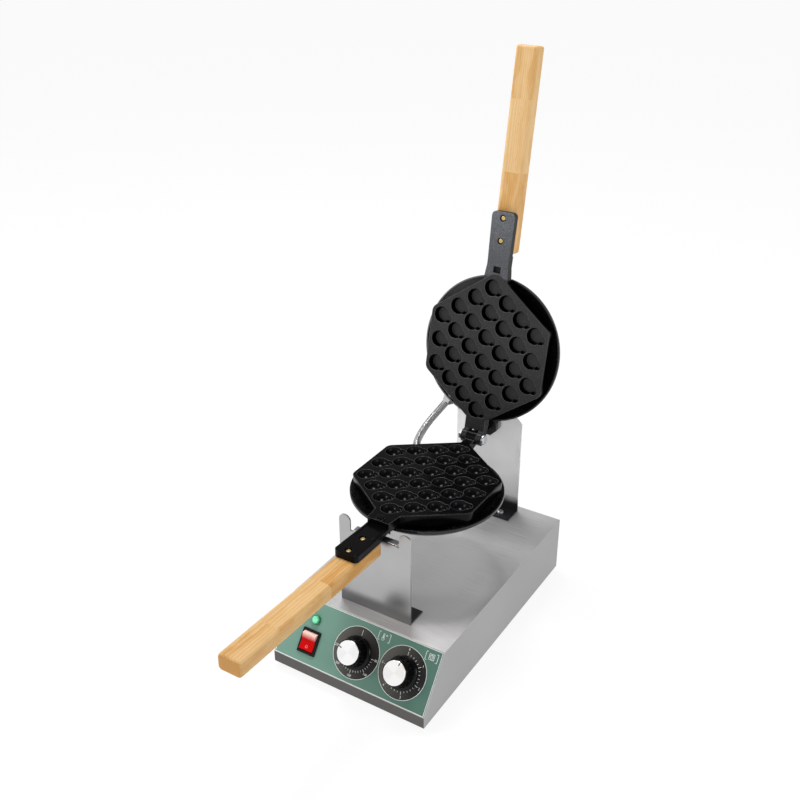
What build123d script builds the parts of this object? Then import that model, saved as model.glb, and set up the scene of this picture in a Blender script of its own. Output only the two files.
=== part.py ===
from build123d import *

import math
import os

# Axes while building: X across, Y back from the base's front edge, Z up from the floor.
# All sizes are in millimetres and all angles in degrees.

# Base box
BASE_WIDTH = 220.0
BASE_DEPTH = 370.0
BASE_HEIGHT = 80.0
LIP_HEIGHT = 16.0
PANEL_SETBACK = 48.0
SHEET = 1.2
RETURN_FLANGE = 12.0
FOLD_RADIUS = 1.0
FOOT_HEIGHT = 6.0
FOOT_RADIUS = 10.0
FOOT_TAPER = 2.0
FOOT_INSET = 30.0
BOTTOM_SHEET = 1.0
BASE_SCREW_RADIUS = 2.0
BASE_SCREW_HEAD = 3.8
BASE_SCREW_HEAD_HEIGHT = 1.8
BASE_SCREW_LENGTH = 6.0
FOOT_SCREW_HEAD_HEIGHT = 1.4
FOOT_SCREW_LENGTH = 12.7
VENT_LENGTH = 46.0
VENT_WIDTH = 4.0
VENT_PITCH = 11.0
VENT_COUNT = 7

# Control panel: places are across (x) and up the slope (s) from the lip's edge
OVERLAY_THICKNESS = 0.6
OVERLAY_MARGIN = 1.2
SWITCH_INSET = 44.0
LAMP_S = 56.5
LAMP_RADIUS = 6.3
LAMP_HEIGHT = 4.0
LAMP_BARREL_RADIUS = 4.6
LAMP_BARREL_LENGTH = 16.0
SWITCH_S = 28.2
BEZEL_WIDTH = 26.0
BEZEL_LENGTH = 31.0
BEZEL_HEIGHT = 2.4
SWITCH_BODY_DEPTH = 20.0
ROCKER_WIDTH = 19.4
ROCKER_RADIUS = 12.2
ROCKER_SKIRT = 5.0
ROCKER_VALLEY = 4.4
ROCKER_END = 7.4
ROCKER_PIVOT_DEPTH = 1.0
ROCKER_PIN_RADIUS = 1.5
ROCKER_TILT = 8.0
TEMPERATURE_X = 0.4
TIMER_INSET = 43.8
KNOB_S = 38.8
KNOB_SKIRT_RADIUS = 20.5
KNOB_SKIRT_HEIGHT = 3.0
KNOB_GRIP_RADIUS = 17.4
KNOB_TOP_RADIUS = 16.0
KNOB_HEIGHT = 21.5
KNOB_FLUTES = 20
KNOB_FLUTE_RADIUS = 1.3
KNOB_CAP_RADIUS = 14.6
KNOB_CAP_THICKNESS = 1.4
KNOB_CAP_PROUD = 0.5
SPINDLE_RADIUS = 3.0
SPINDLE_IN_KNOB = 12.0
REGULATOR_RADIUS = 19.0
REGULATOR_DEPTH = 24.0
REGULATOR_NECK_RADIUS = 5.0
TIMER_BOX = 42.0
TIMER_DEPTH = 26.0

# Stands that carry the pans
STAND_SHEET = 2.0
FRONT_STAND_Y = 67.0
FRONT_STAND_WIDTH = 101.0
FRONT_STAND_FOOT = 29.0
PRONG_WIDTH = 16.0
PRONG_TOP_BELOW_AXIS = 2.0
NOTCH_LIP_DEPTH = 10.0
NOTCH_LIP_RELIEF = 4.0
REAR_STAND_Y = 356.0
REAR_STAND_WIDTH = 100.0
REAR_STAND_FOOT = 30.0
REAR_STAND_TOP_ABOVE_AXIS = 21.0
REAR_STAND_CHAMFER = 11.0
STAND_SCREW_SPACING = 64.0
STAND_SCREW_RADIUS = 2.5
STAND_SCREW_HEAD_RADIUS = 4.6
STAND_SCREW_HEAD_HEIGHT = 3.0
STAND_NUT_HEIGHT = 4.0

# Turning axis (along Y) and pan hinge (along X, through the turning axis)
AXIS_HEIGHT = 216.0
HINGE_Y = 309.0
OPEN_ANGLE = 102.5

# Cast plates: 30 cavities in columns of 3 to 6 side by side
PLATE_CENTRE = 120.5
CAVITY_PITCH = 33.2
COLUMN_PITCH = 22.7
COLUMN_COUNTS = (3, 4, 5, 6, 5, 4, 3)
PLATE_MARGIN = 18.0
PLATE_THICKNESS = 14.0
PLATE_DRAFT = 4.0
PLATE_CORNER_RADIUS = 12.0
PLATE_RIM_CHAMFER = 0.8
PLATE_TRIM = 20.0
PARTING_GAP = 0.3
BIG_LOBE_RADIUS = 11.3
BIG_LOBE_DEPTH = 8.6
SMALL_LOBE_RADIUS = 6.6
SMALL_LOBE_DEPTH = 6.0
LOBE_SPACING = 9.5
CAVITY_ANGLE = 22.0
FLAT_CAVITY_DEPTH = 8.0
FLAT_CAVITY_SLANT = 2.3
SEAT_RADIUS = 83.0
SEAT_THICKNESS = 3.0

# Heater bowls behind the plates
BOWL_RADIUS = 98.0
BOWL_RIM_DEPTH = 15.5
BOWL_RIM_WIDTH = 3.5
BOWL_FLOOR_RADIUS = 68.0
BOWL_DEPTH = 34.0
BOWL_WALL = 2.0
HEATER_RADIUS = 58.0
HEATER_TUBE_RADIUS = 4.0
HEATER_SWEEP = 310.0
COVER_POST_CIRCLE = 34.0
COVER_POST_RADIUS = 6.0
COVER_POSTS = 3
COVER_SCREW_RADIUS = 2.0
COVER_SCREW_HEAD = 4.0
COVER_SCREW_HEAD_HEIGHT = 2.0
COVER_SCREW_LENGTH = 10.0

# Necks, tongues and wooden handles, measured from the hinge
NECK_HALF_WIDTH = 15.0
NECK_FLARE = 4.0
NECK_STEP = 233.5
NECK_START = 200.0
BOSS_RADIUS = 19.7
BOSS_BEHIND_NOTCH = 5.0
TONGUE_END = 302.5
TONGUE_END_HALF_WIDTH = 16.4
TONGUE_THICKNESS = 9.3
TONGUE_CORNER_RADIUS = 6.0
LOWER_TONGUE_DROP = 7.0
LOWER_TONGUE_TILT = 2.0
UPPER_TONGUE_DROP = 1.4
UPPER_TONGUE_TILT = 3.0
RAIL_LENGTH = 30.0
RAIL_WIDTH = 1.4
RAIL_HEIGHT = 0.9
LUG_WIDTH = 9.0
LUG_LENGTH = 7.0
LUG_HEIGHT = 2.4
LUG_PLACE = 228.0
LUG_CLEARANCE = 0.7
LUG_RECESS_DEPTH = 5.0
HANDLE_START = 249.0
HANDLE_END = 503.0
HANDLE_WIDTH = 31.0
HANDLE_THICKNESS = 21.0
HANDLE_EDGE_RADIUS = 5.5
HANDLE_END_RADIUS = 3.0
HANDLE_NOSE_RADIUS = 10.0
HANDLE_SCREW_RADIUS = 2.0
HANDLE_SCREW_HEAD = 3.3
HANDLE_SCREW_HEAD_HEIGHT = 2.2
HANDLE_SCREW_HOLE = 4.3
HANDLE_SCREW_SINK = 3.0
HANDLE_SCREW_LENGTH = 15.0
HANDLE_SCREW_FROM_END = 8.0
HANDLE_SCREW_SPACING = 29.0

# Hinge, turning shaft and its bush
LUG_RADIUS = 9.0
LUG_SHOULDER = 10.5
KNUCKLE_HALF_WIDTH = 6.8
FORK_GAP = 0.4
FORK_THICKNESS = 7.3
HINGE_PIN_RADIUS = 4.0
HINGE_PIN_HEAD = 4.0
HINGE_PIN_HEAD_RADIUS = 7.0
RUNNING_CLEARANCE = 0.05
TRUNNION_LENGTH = 34.0
SHAFT_RADIUS = 7.0
SHAFT_SPIGOT_RADIUS = 4.0
SHAFT_SPIGOT = 14.0
SHAFT_FLANGE_RADIUS = 16.0
SHAFT_FLANGE_THICKNESS = 7.0
BUSH_WALL = 2.5
BUSH_FLANGE_RADIUS = 13.5
BUSH_FLANGE = 1.5
SHAFT_WASHER = 1.6
SHAFT_NUT = 6.0
FACE_CLEARANCE = 0.3
FIT = 0.2

# Flexible steel hose between the bowls
GLAND_DEPTH = 24.5
GLAND_TAIL = 2.8
GLAND_RADIUS = 7.0
GLAND_NUT_RADIUS = 9.0
GLAND_NUT_LENGTH = 6.0
LOWER_GLAND_ANGLE = 38.0
UPPER_GLAND_ANGLE = 33.0
HOSE_RADIUS = 5.2
HOSE_ROOT_RADIUS = 4.4
HOSE_BORE_RADIUS = 3.4
HOSE_RIBS = 30
HOSE_LEAD = 18.0
HOSE_BULGE = 9.2

# Inlet gland for the mains lead, in the back wall
INLET_X = 62.0
INLET_HEIGHT = 34.0
INLET_RADIUS = 9.0
INLET_BORE = 4.2
INLET_LENGTH = 14.0

PANEL_ANGLE = math.degrees(math.atan2(BASE_HEIGHT - LIP_HEIGHT, PANEL_SETBACK))
PANEL_LENGTH = math.hypot(BASE_HEIGHT - LIP_HEIGHT, PANEL_SETBACK)
BASE_TOP = FOOT_HEIGHT + BASE_HEIGHT
SWITCH_X = SWITCH_INSET - BASE_WIDTH / 2
TIMER_X = BASE_WIDTH / 2 - TIMER_INSET
GLAND_REACH = BOWL_RADIUS + FIT + GLAND_NUT_LENGTH + GLAND_TAIL
NOTCH_FLOOR = AXIS_HEIGHT - BOSS_RADIUS - FACE_CLEARANCE
PANEL = Plane(
    origin=(0, 0, FOOT_HEIGHT + LIP_HEIGHT),
    x_dir=(1, 0, 0),
    z_dir=(0, -math.sin(math.radians(PANEL_ANGLE)), math.cos(math.radians(PANEL_ANGLE))),
)


def on_panel(shape, x, s, height=0.0):
    """Place a shape whose own Z is the panel's outward normal."""
    return PANEL.location * Pos(x, s, height) * shape


def disc(radius, low, high):
    """A cylinder about Z from low to high."""
    return Pos(0, 0, low) * Cylinder(radius, high - low, align=(Align.CENTER, Align.CENTER, Align.MIN))


def block(width, depth, height, low=0.0):
    """A box centred in X and Y that stands on the height low."""
    return Pos(0, 0, low) * Box(width, depth, height, align=(Align.CENTER, Align.CENTER, Align.MIN))


def rounded_block(width, depth, height, radius, low=0.0):
    """A box with rounded upright edges that stands on the height low."""
    return Pos(0, 0, low) * extrude(RectangleRounded(width, depth, radius), height)


def pan_head(radius, height):
    """A domed screw head that stands on z = 0."""
    body = disc(radius, 0, height)
    return fillet(body.edges().group_by(Axis.Z)[-1], min(radius, height) * 0.55)


def spread(shape, places):
    """Copies of one shape, as a group of separate solids."""
    return Compound(children=[Pos(*place) * shape for place in places])


# Base: folded sheet box, its bottom plate, feet and screws

def base_profile(inset):
    """Side view of the box in Y and Z, drawn inset by the sheet's thickness."""
    outer = Polygon(
        (0, 0),
        (BASE_DEPTH, 0),
        (BASE_DEPTH, BASE_HEIGHT),
        (PANEL_SETBACK, BASE_HEIGHT),
        (0, LIP_HEIGHT),
        align=None,
    )
    return outer if inset == 0 else offset(outer, -inset, kind=Kind.INTERSECTION)


def base_prism(inset):
    """The box's solid form, as wide as the box less the inset on each side."""
    side_plane = Plane(origin=(0, 0, FOOT_HEIGHT), x_dir=(0, 1, 0), z_dir=(1, 0, 0))
    return extrude(side_plane * base_profile(inset), BASE_WIDTH / 2 - inset, both=True)


def stand_screw_places(y, height):
    half = STAND_SCREW_SPACING / 2
    return [(side * half, y, height) for side in (-1, 1)]


FRONT_SCREW_Y = FRONT_STAND_Y + FRONT_STAND_FOOT * 0.62
REAR_SCREW_Y = REAR_STAND_Y - REAR_STAND_FOOT * 0.55


def foot_places():
    x = BASE_WIDTH / 2 - FOOT_INSET
    return [(side * x, y, 0) for side in (-1, 1) for y in (FOOT_INSET, BASE_DEPTH - FOOT_INSET)]


def bottom_screw_places():
    x = BASE_WIDTH / 2 - RETURN_FLANGE / 2
    return [(side * x, y, 0) for side in (-1, 1) for y in (BASE_DEPTH * 0.25, BASE_DEPTH * 0.78)]


def make_base_shell():
    shell = base_prism(0)
    fold_edges = shell.edges().filter_by(Axis.X)
    shell = fillet(fold_edges, FOLD_RADIUS) - base_prism(SHEET)
    mouth = Pos(0, BASE_DEPTH / 2, FOOT_HEIGHT - SHEET) * block(
        BASE_WIDTH - 2 * RETURN_FLANGE, BASE_DEPTH - 2 * RETURN_FLANGE, 3 * SHEET
    )
    shell -= mouth
    shell -= on_panel(disc(LAMP_BARREL_RADIUS + FIT, -9, 9), SWITCH_X, LAMP_S)
    switch_hole = block(ROCKER_WIDTH + 4 + 2 * FIT, 2 * ROCKER_RADIUS + 4 + 2 * FIT, 18, -9)
    shell -= on_panel(switch_hole, SWITCH_X, SWITCH_S)
    for x in (TEMPERATURE_X, TIMER_X):
        shell -= on_panel(disc(REGULATOR_NECK_RADIUS + FIT, -9, 9), x, KNOB_S)
    for y in (FRONT_SCREW_Y, REAR_SCREW_Y):
        for place in stand_screw_places(y, BASE_TOP):
            shell -= Pos(*place) * disc(STAND_SCREW_RADIUS + FIT, -5, 5)
    for place in bottom_screw_places():
        shell -= Pos(*place) * disc(BASE_SCREW_RADIUS + FIT, FOOT_HEIGHT - 3, FOOT_HEIGHT + 3)
    inlet = Pos(INLET_X, BASE_DEPTH, FOOT_HEIGHT + INLET_HEIGHT) * Rot(90, 0, 0)
    return shell - inlet * disc(INLET_RADIUS - 2 + FIT, -9, 9)


def make_bottom_plate():
    gap = SHEET + 0.5
    low = FOOT_HEIGHT + SHEET
    plate = Pos(0, BASE_DEPTH / 2, low) * block(
        BASE_WIDTH - 2 * gap, BASE_DEPTH - 2 * gap, BOTTOM_SHEET
    )
    slot = SlotOverall(VENT_LENGTH, VENT_WIDTH)
    for side in (-1, 1):
        for index in range(VENT_COUNT):
            y = BASE_DEPTH / 2 + (index - (VENT_COUNT - 1) / 2) * VENT_PITCH
            plate -= Pos(side * VENT_LENGTH * 0.7, y, low) * extrude(slot, 4 * BOTTOM_SHEET, both=True)
    for place in bottom_screw_places() + foot_places():
        plate -= Pos(*place) * disc(BASE_SCREW_RADIUS + FIT, low - 3, low + 3)
    return plate


def make_bottom_screws():
    screw = Rot(180, 0, 0) * pan_head(BASE_SCREW_HEAD, BASE_SCREW_HEAD_HEIGHT)
    screw += disc(BASE_SCREW_RADIUS, 0, BASE_SCREW_LENGTH)
    return spread(Pos(0, 0, FOOT_HEIGHT) * screw, bottom_screw_places())


def make_rubber_feet():
    top = FOOT_HEIGHT + SHEET
    foot = Cone(FOOT_RADIUS - FOOT_TAPER, FOOT_RADIUS, top, align=(Align.CENTER, Align.CENTER, Align.MIN))
    foot -= disc(FOOT_RADIUS * 0.45, -1, FOOT_HEIGHT * 0.45)
    foot -= disc(BASE_SCREW_RADIUS + FIT, -1, top + 1)
    return spread(foot, foot_places())


def make_foot_screws():
    seat = FOOT_HEIGHT * 0.45
    low = seat - FOOT_SCREW_HEAD_HEIGHT
    screw = disc(BASE_SCREW_HEAD, low, seat) + disc(BASE_SCREW_RADIUS, low, low + FOOT_SCREW_LENGTH)
    return spread(screw, foot_places())


# Control panel: printed overlay, lamp, rocker switch, regulators and knobs

def make_panel_overlay():
    width = BASE_WIDTH - 2 * OVERLAY_MARGIN
    length = PANEL_LENGTH - 2 * OVERLAY_MARGIN
    sheet = on_panel(block(width, length, OVERLAY_THICKNESS), 0, PANEL_LENGTH / 2)
    sheet -= on_panel(disc(LAMP_BARREL_RADIUS + FIT, -2, 2), SWITCH_X, LAMP_S)
    switch_hole = block(ROCKER_WIDTH + 4 + 2 * FIT, 2 * ROCKER_RADIUS + 4 + 2 * FIT, 4, -2)
    sheet -= on_panel(switch_hole, SWITCH_X, SWITCH_S)
    for x in (TEMPERATURE_X, TIMER_X):
        sheet -= on_panel(disc(REGULATOR_NECK_RADIUS + FIT, -2, 2), x, KNOB_S)
    return sheet


def make_lamp_lens():
    lens = disc(LAMP_RADIUS, OVERLAY_THICKNESS, OVERLAY_THICKNESS + LAMP_HEIGHT)
    lens = fillet(lens.edges().group_by(Axis.Z)[-1], LAMP_HEIGHT * 0.75)
    lens += disc(LAMP_BARREL_RADIUS, -LAMP_BARREL_LENGTH, OVERLAY_THICKNESS)
    return on_panel(lens, SWITCH_X, LAMP_S)


def make_lamp_nut():
    high = -SHEET
    nut = extrude(RegularPolygon(LAMP_BARREL_RADIUS * 1.7, 6), 3)
    nut -= disc(LAMP_BARREL_RADIUS, -1, 4)
    return on_panel(Pos(0, 0, high - 3) * nut, SWITCH_X, LAMP_S)


def make_rocker_housing():
    low = OVERLAY_THICKNESS
    housing = rounded_block(BEZEL_WIDTH, BEZEL_LENGTH, BEZEL_HEIGHT, 1.5, low)
    housing = chamfer(housing.edges().group_by(Axis.Z)[-1], 0.7)
    housing += block(ROCKER_WIDTH + 4, 2 * ROCKER_RADIUS + 4, SWITCH_BODY_DEPTH, low - SWITCH_BODY_DEPTH)
    pocket = block(
        ROCKER_WIDTH + 2 * FACE_CLEARANCE,
        2 * (ROCKER_RADIUS + FACE_CLEARANCE),
        BEZEL_HEIGHT + ROCKER_SKIRT + 8,
        low - ROCKER_SKIRT - 6,
    )
    housing -= pocket
    pin_hole = Rot(0, 90, 0) * Cylinder(ROCKER_PIN_RADIUS + RUNNING_CLEARANCE, ROCKER_WIDTH + 3)
    return on_panel(housing - Pos(0, 0, -ROCKER_PIVOT_DEPTH) * pin_hole, SWITCH_X, SWITCH_S)


def make_rocker():
    """Cylinder-ended body with a V-shaped top, tilted so that its lower half is pressed."""
    section = Circle(ROCKER_RADIUS)
    top = Polygon(
        (-2 * ROCKER_RADIUS, -ROCKER_SKIRT),
        (2 * ROCKER_RADIUS, -ROCKER_SKIRT),
        (2 * ROCKER_RADIUS, ROCKER_END + (ROCKER_END - ROCKER_VALLEY)),
        (0, ROCKER_VALLEY),
        (-2 * ROCKER_RADIUS, ROCKER_END + (ROCKER_END - ROCKER_VALLEY)),
        align=None,
    )
    side = Plane(origin=(0, 0, 0), x_dir=(0, 1, 0), z_dir=(1, 0, 0))
    body = extrude(side * (section & top), ROCKER_WIDTH / 2, both=True)
    body += Rot(0, 90, 0) * Cylinder(ROCKER_PIN_RADIUS, ROCKER_WIDTH + 2)
    return on_panel(Rot(ROCKER_TILT, 0, 0) * body, SWITCH_X, SWITCH_S, -ROCKER_PIVOT_DEPTH)


KNOB_LOW = OVERLAY_THICKNESS + 0.5


def make_knob(x):
    """Skirted, fluted knob with a shallow seat for its metal cap."""
    top = KNOB_LOW + KNOB_HEIGHT
    neck = KNOB_LOW + KNOB_SKIRT_HEIGHT
    profile = Polygon(
        (0, KNOB_LOW),
        (KNOB_SKIRT_RADIUS, KNOB_LOW),
        (KNOB_SKIRT_RADIUS, neck - 1),
        (KNOB_SKIRT_RADIUS - 1, neck),
        (KNOB_GRIP_RADIUS, neck + 1),
        (KNOB_TOP_RADIUS, top - 1),
        (KNOB_TOP_RADIUS - 1, top),
        (0, top),
        align=None,
    )
    knob = revolve(Plane.XZ * profile, Axis.Z)
    flute = Cone(
        KNOB_FLUTE_RADIUS, KNOB_FLUTE_RADIUS * 0.9, top - neck, align=(Align.CENTER, Align.CENTER, Align.MIN)
    )
    lean = math.degrees(math.atan2(KNOB_GRIP_RADIUS - KNOB_TOP_RADIUS, top - neck))
    for index in range(KNOB_FLUTES):
        turn = Rot(0, 0, index * 360 / KNOB_FLUTES)
        place = Pos(KNOB_GRIP_RADIUS + KNOB_FLUTE_RADIUS * 0.35, 0, neck + 1)
        knob -= turn * place * Rot(0, -lean, 0) * flute
    knob -= disc(KNOB_CAP_RADIUS, top - KNOB_CAP_THICKNESS + KNOB_CAP_PROUD, top + 1)
    knob -= disc(SPINDLE_RADIUS, 0, KNOB_LOW + SPINDLE_IN_KNOB)
    return on_panel(knob, x, KNOB_S)


def make_knob_cap(x):
    top = KNOB_LOW + KNOB_HEIGHT + KNOB_CAP_PROUD
    cap = disc(KNOB_CAP_RADIUS, top - KNOB_CAP_THICKNESS, top)
    cap = chamfer(cap.edges().group_by(Axis.Z)[-1], 0.35)
    return on_panel(cap, x, KNOB_S)


def make_spindle(x, depth):
    return on_panel(disc(SPINDLE_RADIUS, -SHEET - depth / 2, KNOB_LOW + SPINDLE_IN_KNOB), x, KNOB_S)


def spindle_bore(depth):
    return disc(SPINDLE_RADIUS + RUNNING_CLEARANCE, -SHEET - depth / 2 - FACE_CLEARANCE, 9)


def make_thermostat_body():
    body = disc(REGULATOR_RADIUS, -SHEET - REGULATOR_DEPTH, -SHEET)
    body += disc(REGULATOR_NECK_RADIUS, -SHEET, OVERLAY_THICKNESS)
    return on_panel(body - spindle_bore(REGULATOR_DEPTH), TEMPERATURE_X, KNOB_S)


def make_timer_body():
    body = rounded_block(TIMER_BOX, TIMER_BOX, TIMER_DEPTH, 3, -SHEET - TIMER_DEPTH)
    body += disc(REGULATOR_NECK_RADIUS, -SHEET, OVERLAY_THICKNESS)
    return on_panel(body - spindle_bore(TIMER_DEPTH), TIMER_X, KNOB_S)


def make_terminal_block():
    """Row of screw terminals on the bottom plate."""
    low = FOOT_HEIGHT + SHEET + BOTTOM_SHEET
    pitch = 10.0
    poles = 4
    body = block(poles * pitch + 8, 20, 9, low) + block(poles * pitch, 12, 15, low)
    for index in range(poles):
        body -= Pos((index - (poles - 1) / 2) * pitch, 0, low + 10) * disc(2.6, 0, 9)
    return Pos(0, BASE_DEPTH * 0.72, 0) * body


def make_inlet_gland():
    place = Pos(INLET_X, BASE_DEPTH, FOOT_HEIGHT + INLET_HEIGHT) * Rot(-90, 0, 0)
    body = extrude(RegularPolygon(INLET_RADIUS, 6), 4)
    body += disc(INLET_RADIUS - 1.6, 4, INLET_LENGTH)
    body = fillet(body.edges().group_by(Axis.Z)[-1], 2)
    body += disc(INLET_RADIUS - 2, -SHEET - 8, 0)
    return place * (body - disc(INLET_BORE, -20, INLET_LENGTH + 1))


def make_inlet_nut():
    place = Pos(INLET_X, BASE_DEPTH, FOOT_HEIGHT + INLET_HEIGHT) * Rot(-90, 0, 0)
    nut = extrude(RegularPolygon(INLET_RADIUS, 6), 4) - disc(INLET_RADIUS - 2, -1, 5)
    return place * Pos(0, 0, -SHEET - 4) * nut


# Stands: folded sheet uprights with a foot on the base's top

def upright(outline, y):
    """A sheet whose front face lies at y, drawn in X and Z."""
    front = Plane(origin=(0, y, 0), x_dir=(1, 0, 0), z_dir=(0, -1, 0))
    return extrude(front * outline, STAND_SHEET, dir=(0, 1, 0))


def make_front_stand():
    half = FRONT_STAND_WIDTH / 2
    top = AXIS_HEIGHT - PRONG_TOP_BELOW_AXIS
    notch_half = half - PRONG_WIDTH
    outline = Polygon(
        (-half, BASE_TOP),
        (half, BASE_TOP),
        (half, top),
        (notch_half, top),
        (notch_half, NOTCH_FLOOR - STAND_SHEET),
        (-notch_half, NOTCH_FLOOR - STAND_SHEET),
        (-notch_half, top),
        (-half, top),
        align=None,
    )
    tips = outline.vertices().group_by(Axis.Y)[-1]
    outline = fillet(tips, PRONG_WIDTH / 2 - 0.2)
    sheet = upright(outline, FRONT_STAND_Y)
    lip_width = 2 * (notch_half - NOTCH_LIP_RELIEF)
    lip = Pos(0, FRONT_STAND_Y + NOTCH_LIP_DEPTH / 2, 0) * block(
        lip_width, NOTCH_LIP_DEPTH, STAND_SHEET, NOTCH_FLOOR - STAND_SHEET
    )
    lip = fillet(lip.edges().filter_by(Axis.X).group_by(Axis.Y)[0].sort_by(Axis.Z)[-1], STAND_SHEET * 0.8)
    foot = Pos(0, FRONT_STAND_Y + FRONT_STAND_FOOT / 2, 0) * block(
        FRONT_STAND_WIDTH, FRONT_STAND_FOOT, STAND_SHEET, BASE_TOP
    )
    stand = sheet + lip + foot
    for place in stand_screw_places(FRONT_SCREW_Y, BASE_TOP):
        stand -= Pos(*place) * disc(STAND_SCREW_RADIUS + FIT, -5, 5)
    return stand


def make_rear_stand():
    half = REAR_STAND_WIDTH / 2
    top = AXIS_HEIGHT + REAR_STAND_TOP_ABOVE_AXIS
    outline = Polygon((-half, BASE_TOP), (half, BASE_TOP), (half, top), (-half, top), align=None)
    outline = chamfer(outline.vertices().group_by(Axis.Y)[-1], REAR_STAND_CHAMFER)
    sheet = upright(outline, REAR_STAND_Y)
    foot = Pos(0, REAR_STAND_Y + STAND_SHEET - REAR_STAND_FOOT / 2, 0) * block(
        REAR_STAND_WIDTH, REAR_STAND_FOOT, STAND_SHEET, BASE_TOP
    )
    stand = sheet + foot
    bush_hole = Pos(0, REAR_STAND_Y, AXIS_HEIGHT) * Rot(-90, 0, 0)
    stand -= bush_hole * disc(SHAFT_RADIUS + BUSH_WALL, -9, 9)
    for place in stand_screw_places(REAR_SCREW_Y, BASE_TOP):
        stand -= Pos(*place) * disc(STAND_SCREW_RADIUS + FIT, -5, 5)
    return stand


def make_stand_screws(y):
    length = STAND_SHEET + SHEET + STAND_NUT_HEIGHT + 3
    screw = Pos(0, 0, STAND_SHEET) * pan_head(STAND_SCREW_HEAD_RADIUS, STAND_SCREW_HEAD_HEIGHT)
    screw += disc(STAND_SCREW_RADIUS, STAND_SHEET - length, STAND_SHEET)
    return spread(screw, stand_screw_places(y, BASE_TOP))


def make_stand_nuts(y):
    nut = extrude(RegularPolygon(STAND_SCREW_HEAD_RADIUS, 6), STAND_NUT_HEIGHT)
    nut -= disc(STAND_SCREW_RADIUS, -1, STAND_NUT_HEIGHT + 1)
    return spread(Pos(0, 0, -SHEET - STAND_NUT_HEIGHT) * nut, stand_screw_places(y, BASE_TOP))


# Pans: drawn closed, hinge at the origin, handle towards -Y, metal below z = 0

def lower_place(shape):
    return Pos(0, HINGE_Y, AXIS_HEIGHT) * shape


def upper_place(shape):
    """The same pan turned face down, then swung open about the hinge."""
    return Pos(0, HINGE_Y, AXIS_HEIGHT) * Rot(-OPEN_ANGLE, 0, 0) * mirror(shape, about=Plane.XY)


def cavity_places():
    """Column by column, the cavities half a pitch apart from column to column."""
    places = []
    middle = (len(COLUMN_COUNTS) - 1) / 2
    for column, count in enumerate(COLUMN_COUNTS):
        for row in range(count):
            x = (column - middle) * COLUMN_PITCH
            y = -PLATE_CENTRE + (row - (count - 1) / 2) * CAVITY_PITCH
            places.append((x, y))
    return places


CAVITY_LENGTH = BIG_LOBE_RADIUS + LOBE_SPACING + SMALL_LOBE_RADIUS
BIG_LOBE_X = BIG_LOBE_RADIUS - CAVITY_LENGTH / 2
SMALL_LOBE_X = CAVITY_LENGTH / 2 - SMALL_LOBE_RADIUS


def cap(radius, depth):
    """Ball whose lower part, below z = 0, has the given width and depth."""
    ball = (radius**2 + depth**2) / (2 * depth)
    return Pos(0, 0, ball - depth) * Sphere(ball)


def round_cavity():
    """Gourd-shaped hollow: a large and a small round hollow run into each other."""
    gourd = Pos(BIG_LOBE_X, 0, 0) * cap(BIG_LOBE_RADIUS, BIG_LOBE_DEPTH)
    gourd += Pos(SMALL_LOBE_X, 0, 0) * cap(SMALL_LOBE_RADIUS, SMALL_LOBE_DEPTH)
    return Rot(0, 0, CAVITY_ANGLE) * Pos(0, 0, -PARTING_GAP / 2) * gourd


def flat_lobe(radius):
    """Flat-floored hollow with a slanting wall, as wide as the radius at z = 0."""
    slant = FLAT_CAVITY_SLANT / FLAT_CAVITY_DEPTH
    low = Pos(0, 0, -FLAT_CAVITY_DEPTH)
    up = (Align.CENTER, Align.CENTER, Align.MIN)
    return low * Cone(radius - FLAT_CAVITY_SLANT, radius + slant, FLAT_CAVITY_DEPTH + 1, align=up)


def flat_cavity():
    """The same gourd outline with slanting walls and a flat floor."""
    gourd = Pos(BIG_LOBE_X, 0, 0) * flat_lobe(BIG_LOBE_RADIUS)
    gourd += Pos(SMALL_LOBE_X, 0, 0) * flat_lobe(SMALL_LOBE_RADIUS)
    return Rot(0, 0, CAVITY_ANGLE) * Pos(0, 0, -PARTING_GAP / 2) * gourd


def plate_slab():
    """Six-sided slab whose slanting sides run along the rows of cavities."""
    middle = (len(COLUMN_COUNTS) - 1) / 2
    slope = CAVITY_PITCH / 2 / COLUMN_PITCH
    half_width = middle * COLUMN_PITCH + PLATE_MARGIN
    tip = (max(COLUMN_COUNTS) - 1) / 2 * CAVITY_PITCH + PLATE_MARGIN * math.hypot(1, slope)
    corner = tip - half_width * slope
    outline = Polygon(
        (0, -tip), (half_width, -corner), (half_width, corner), (0, tip), (-half_width, corner),
        (-half_width, -corner),
        align=None,
    )
    outline = fillet(outline.vertices(), PLATE_CORNER_RADIUS)
    slab = extrude(Pos(0, -PLATE_CENTRE) * outline, -PLATE_THICKNESS, taper=PLATE_DRAFT)
    slab = chamfer(slab.edges().group_by(Axis.Z)[-1], PLATE_RIM_CHAMFER)
    return Pos(0, 0, -PARTING_GAP / 2) * slab


def cover_post_places():
    step = 360 / COVER_POSTS
    return [
        (
            COVER_POST_CIRCLE * math.sin(math.radians(index * step)),
            COVER_POST_CIRCLE * math.cos(math.radians(index * step)) - PLATE_CENTRE,
            0,
        )
        for index in range(COVER_POSTS)
    ]


def heater_ring(radius, low):
    """Open ring of tube about the plate's centre, its gap towards the hinge."""
    start = 90 + (360 - HEATER_SWEEP) / 2
    path = CenterArc((0, -PLATE_CENTRE, low), HEATER_RADIUS, start, HEATER_SWEEP)
    return sweep(Plane(origin=path @ 0, z_dir=path % 0) * Circle(radius), path)


SEAT_LOW = PARTING_GAP / 2 + PLATE_THICKNESS + SEAT_THICKNESS


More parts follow.
